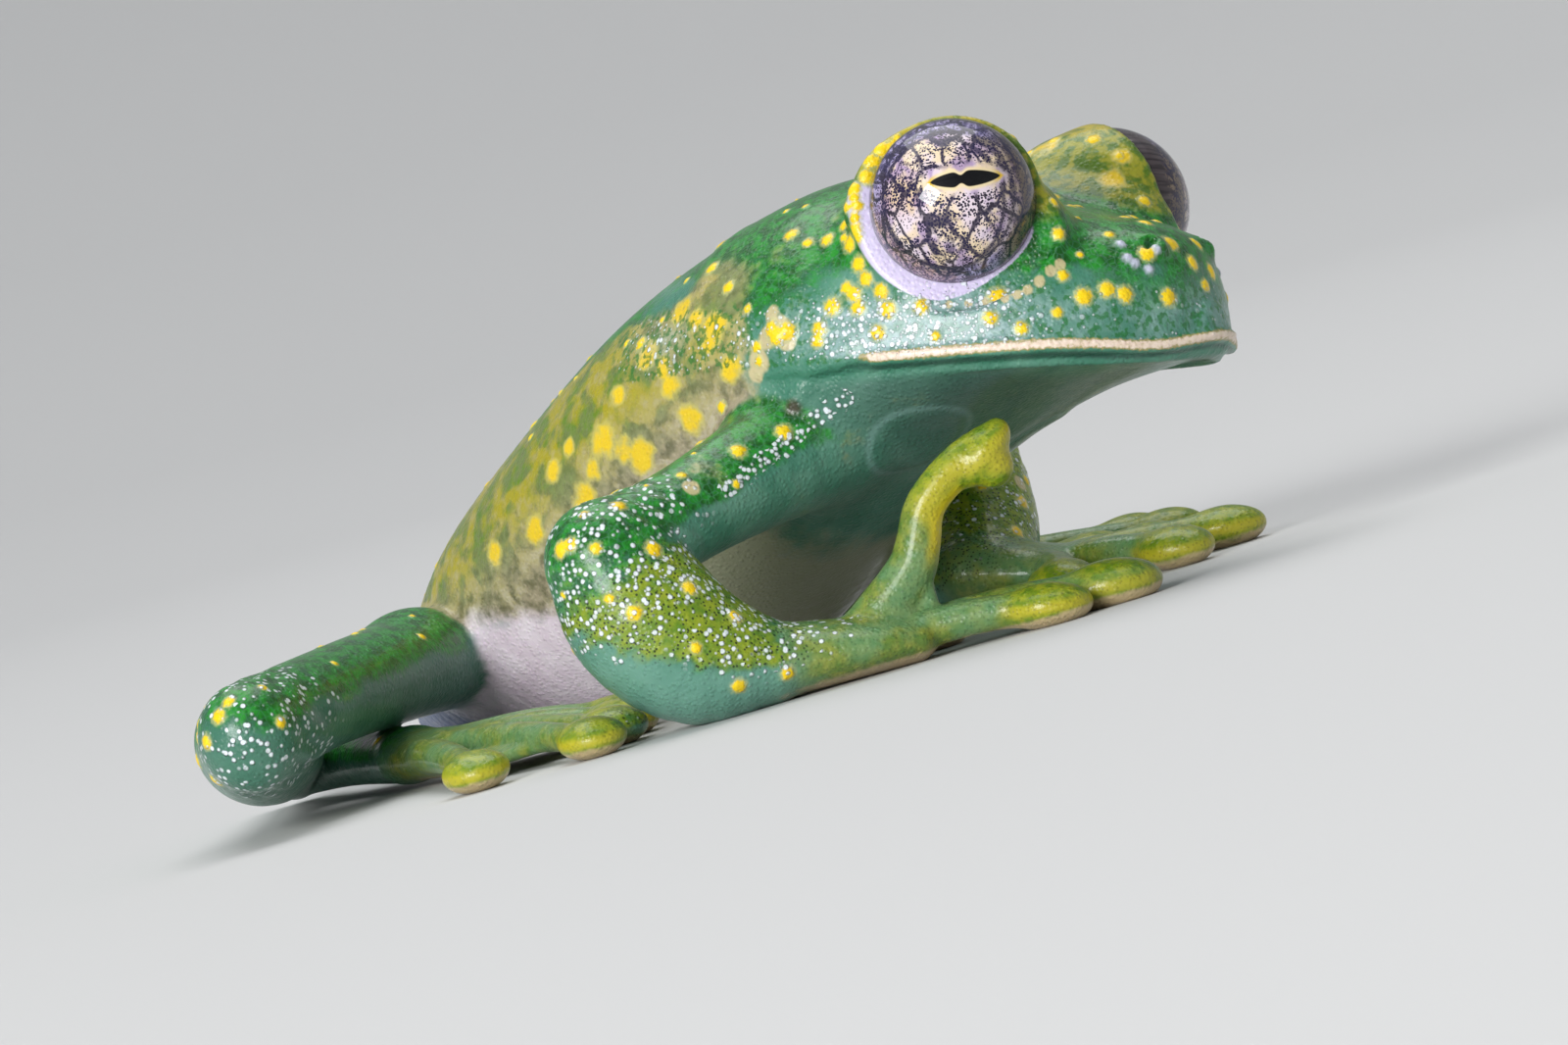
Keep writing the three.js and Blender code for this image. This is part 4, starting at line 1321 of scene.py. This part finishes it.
def iris_ground(n, clear):
    """Cream with clouds of lilac, and a violet band round the edge that is streaked outward."""
    colour = n.blend(n.wave, 0.42, 0.58, IRIS)
    mauve = n.step(n.noise(n.place, 2.4, 4.0), 0.44, 0.6, 0.0, 0.85) * (1.0 - clear * 0.8)
    colour = n.mix(mauve, colour, LILAC)
    band = n.blend(n.streaks, 0.36, 0.58, BAND)
    low = n.step(n.y, 0.1, -0.3) * n.step(n.x, 0.2, -0.2)
    band = n.mix(low * 0.7, band, n.blend(n.jitter, 0.4, 0.6, BAND_LOW))
    band = n.coat(band, n.blend(n.wave, 0.4, 0.6, BAND_AHEAD), n.x, 0.35, 0.8)
    colour = n.mix(n.step(n.off + n.unevenly, 0.78, 0.84) * 0.95, colour, band)
    return n.mix(n.step(n.x, 0.45, 0.85) * 0.55, colour, SHADE)


def iris_lines(n):
    """Dark lines: rings about the iris and a net of veins between them."""
    ring = n.step(n.circle(0.0, 0.0, 0.8) + n.maths("ABSOLUTE", n.unevenly), 0.018, 0.05, 1.0, 0.0)
    second = n.step(n.circle(-0.2, -0.05, 0.82) + n.unevenly * 0.6, 0.008, 0.04, 0.9, 0.0)
    third = n.step(n.circle(-0.1, 0.02, 0.84) + n.unevenly * 0.6, 0.01, 0.045, 0.8, 0.0)
    ring, second = ring * n.step(n.x, 0.35, 0.1), second * n.step(n.x, 0.0, 0.2)
    rings = n.most(ring, second, third * n.step(n.x, 0.25, 0.4))
    warp = n.add("ShaderNodeTexNoise", {"Vector": n.place, "Scale": 1.0, "Detail": 4.0}, "Color")
    shift = n.vectors("SCALE", n.vectors("SUBTRACT", warp, (0.5, 0.5, 0.5)), 0.8)
    bent = n.vectors("MULTIPLY", n.vectors("ADD", n.place, shift), (1.3, 0.8, 0.8))
    thick = n.noise(n.place, 1.7)
    coarse = n.step(n.cells(bent, 1.5, "DISTANCE_TO_EDGE"), 0.03, 0.1, 1.0, 0.0)
    close = n.step(n.cells(bent, 3.1, "DISTANCE_TO_EDGE"), 0.01, 0.12, 0.85, 0.0)
    return n.most(coarse * n.step(thick, 0.25, 0.45), close * n.step(thick, 0.5, 0.35), rings)


def eye_material():
    n = EyeNodes("glass_frog_eye")
    to_pupil, from_middle = beyond_pupil(n)
    clear = n.step(n.noise(n.place, 1.9, 1.0), 0.56, 0.64)
    colour = iris_ground(n, clear)
    line = iris_lines(n)

    # fine black dots, which crowd along the lines and in a cloud behind and below the pupil
    cloud = n.step(n.noise(n.place, 1.8, 3.0), 0.4, 0.64, 0.0, 0.2)
    below = n.step(n.y, 0.25, 0.05) * n.step(n.circle(0.05, -0.1), 0.15, 0.55, 0.16, 0.0)
    behind = n.step(n.circle(-0.6, 0.08), 0.1, 0.35, 0.2, 0.0)
    crowd = (cloud + line * 0.16 + below + behind + 0.34) * (1.0 - clear * 0.45)
    crowd = n.maths("MINIMUM", crowd, 0.54) * n.step(to_pupil, 0.03, 0.14)
    dots = n.step(n.cells(n.place, 19.0) - crowd, -0.05, 0.05, 1.0, 0.0)
    ink = n.blend(n.wave, 0.45, 0.6, INK)
    colour = n.mix(behind * 1.6, colour, RUST)
    colour = n.mix(line * n.step(to_pupil, 0.05, 0.14) * 0.93, colour, ink)
    colour = n.mix(dots, colour, ink)

    # the gold rim of the pupil, the pupil itself, and the dark edge of the eye
    glow = n.step(to_pupil, 0.015, 0.065, 1.0, 0.0)
    colour = n.mix(glow, colour, GOLD)
    colour = n.mix(glow * n.step(from_middle, 0.3, 0.43), colour, GOLD_ENDS)
    colour = n.mix(n.step(to_pupil, -0.004, 0.008, 1.0, 0.0), colour, PUPIL)
    edge = n.mix(n.step(n.x, 0.1, 0.5), EDGE, n.blend(n.streaks, 0.35, 0.65, EDGE_AHEAD))
    colour = n.coat(colour, edge, n.off + (n.jitter - 0.5) * 0.06, 0.95, 0.975)
    return n.finish(
        Base_Color=colour, Roughness=0.5, Specular_IOR_Level=0.1, Coat_Weight=1.0, Coat_Roughness=0.02,
        Coat_IOR=1.42,
    )


def eye_turned(side):
    """The matrix of an eye: its z axis looks out, its x axis runs along the pupil."""
    out = Vector(looking_out(side, IRIS_TURN, IRIS_LIFT))
    ahead, over = HEAD_TURN @ Vector((1, 0, 0)), Vector(HEAD_UP)
    along = (ahead - out * ahead.dot(out)).normalized()
    over = (over - out * over.dot(out) - along * over.dot(along)).normalized()
    return placed((along, over, out), from_head(eye_centre(side)))


def add_eye(name, side, material):
    """An eyeball, a sphere with one pole at the middle of the iris."""
    polar = np.linspace(math.pi, 0, EYE_RINGS + 1)[1:-1]
    places, faces = lathed([(EYE_RADIUS * math.sin(p), EYE_RADIUS * math.cos(p)) for p in polar], EYE_SIDES)
    count = len(places)
    places += [(0, 0, -EYE_RADIUS), (0, 0, EYE_RADIUS)]
    for first in range(EYE_SIDES):
        second = (first + 1) % EYE_SIDES
        above = count - EYE_SIDES
        faces += [(second, first, count), (above + first, above + second, count + 1)]
    eye = mesh_object(f"eyeball_{name}", places, faces)
    eye.data.materials.append(material)
    eye.matrix_world = eye_turned(side)
    if eye.matrix_world.determinant() < 0:
        eye.data.flip_normals()
    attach(eye, "root")
    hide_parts(f"eye_{name}")


add_camera()
add_floor()
right, up, back = camera_axes()
key_offset = (right * -0.536 + up * 0.153 + back * 0.83) * LIGHT_DISTANCE
add_light("key", key_offset, size=170, power=1.75, spin=45)
add_light("top", Vector((-80, 120, 420)), size=420, power=1.3)
add_world()

skin = detailed_skin(*build_skin())
skin.data.materials.append(skin_material())
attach(skin, "root")
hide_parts(*(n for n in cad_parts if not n.startswith("eye_")))
iris = eye_material()
for name, side in SIDES.items():
    add_eye(name, side, iris)
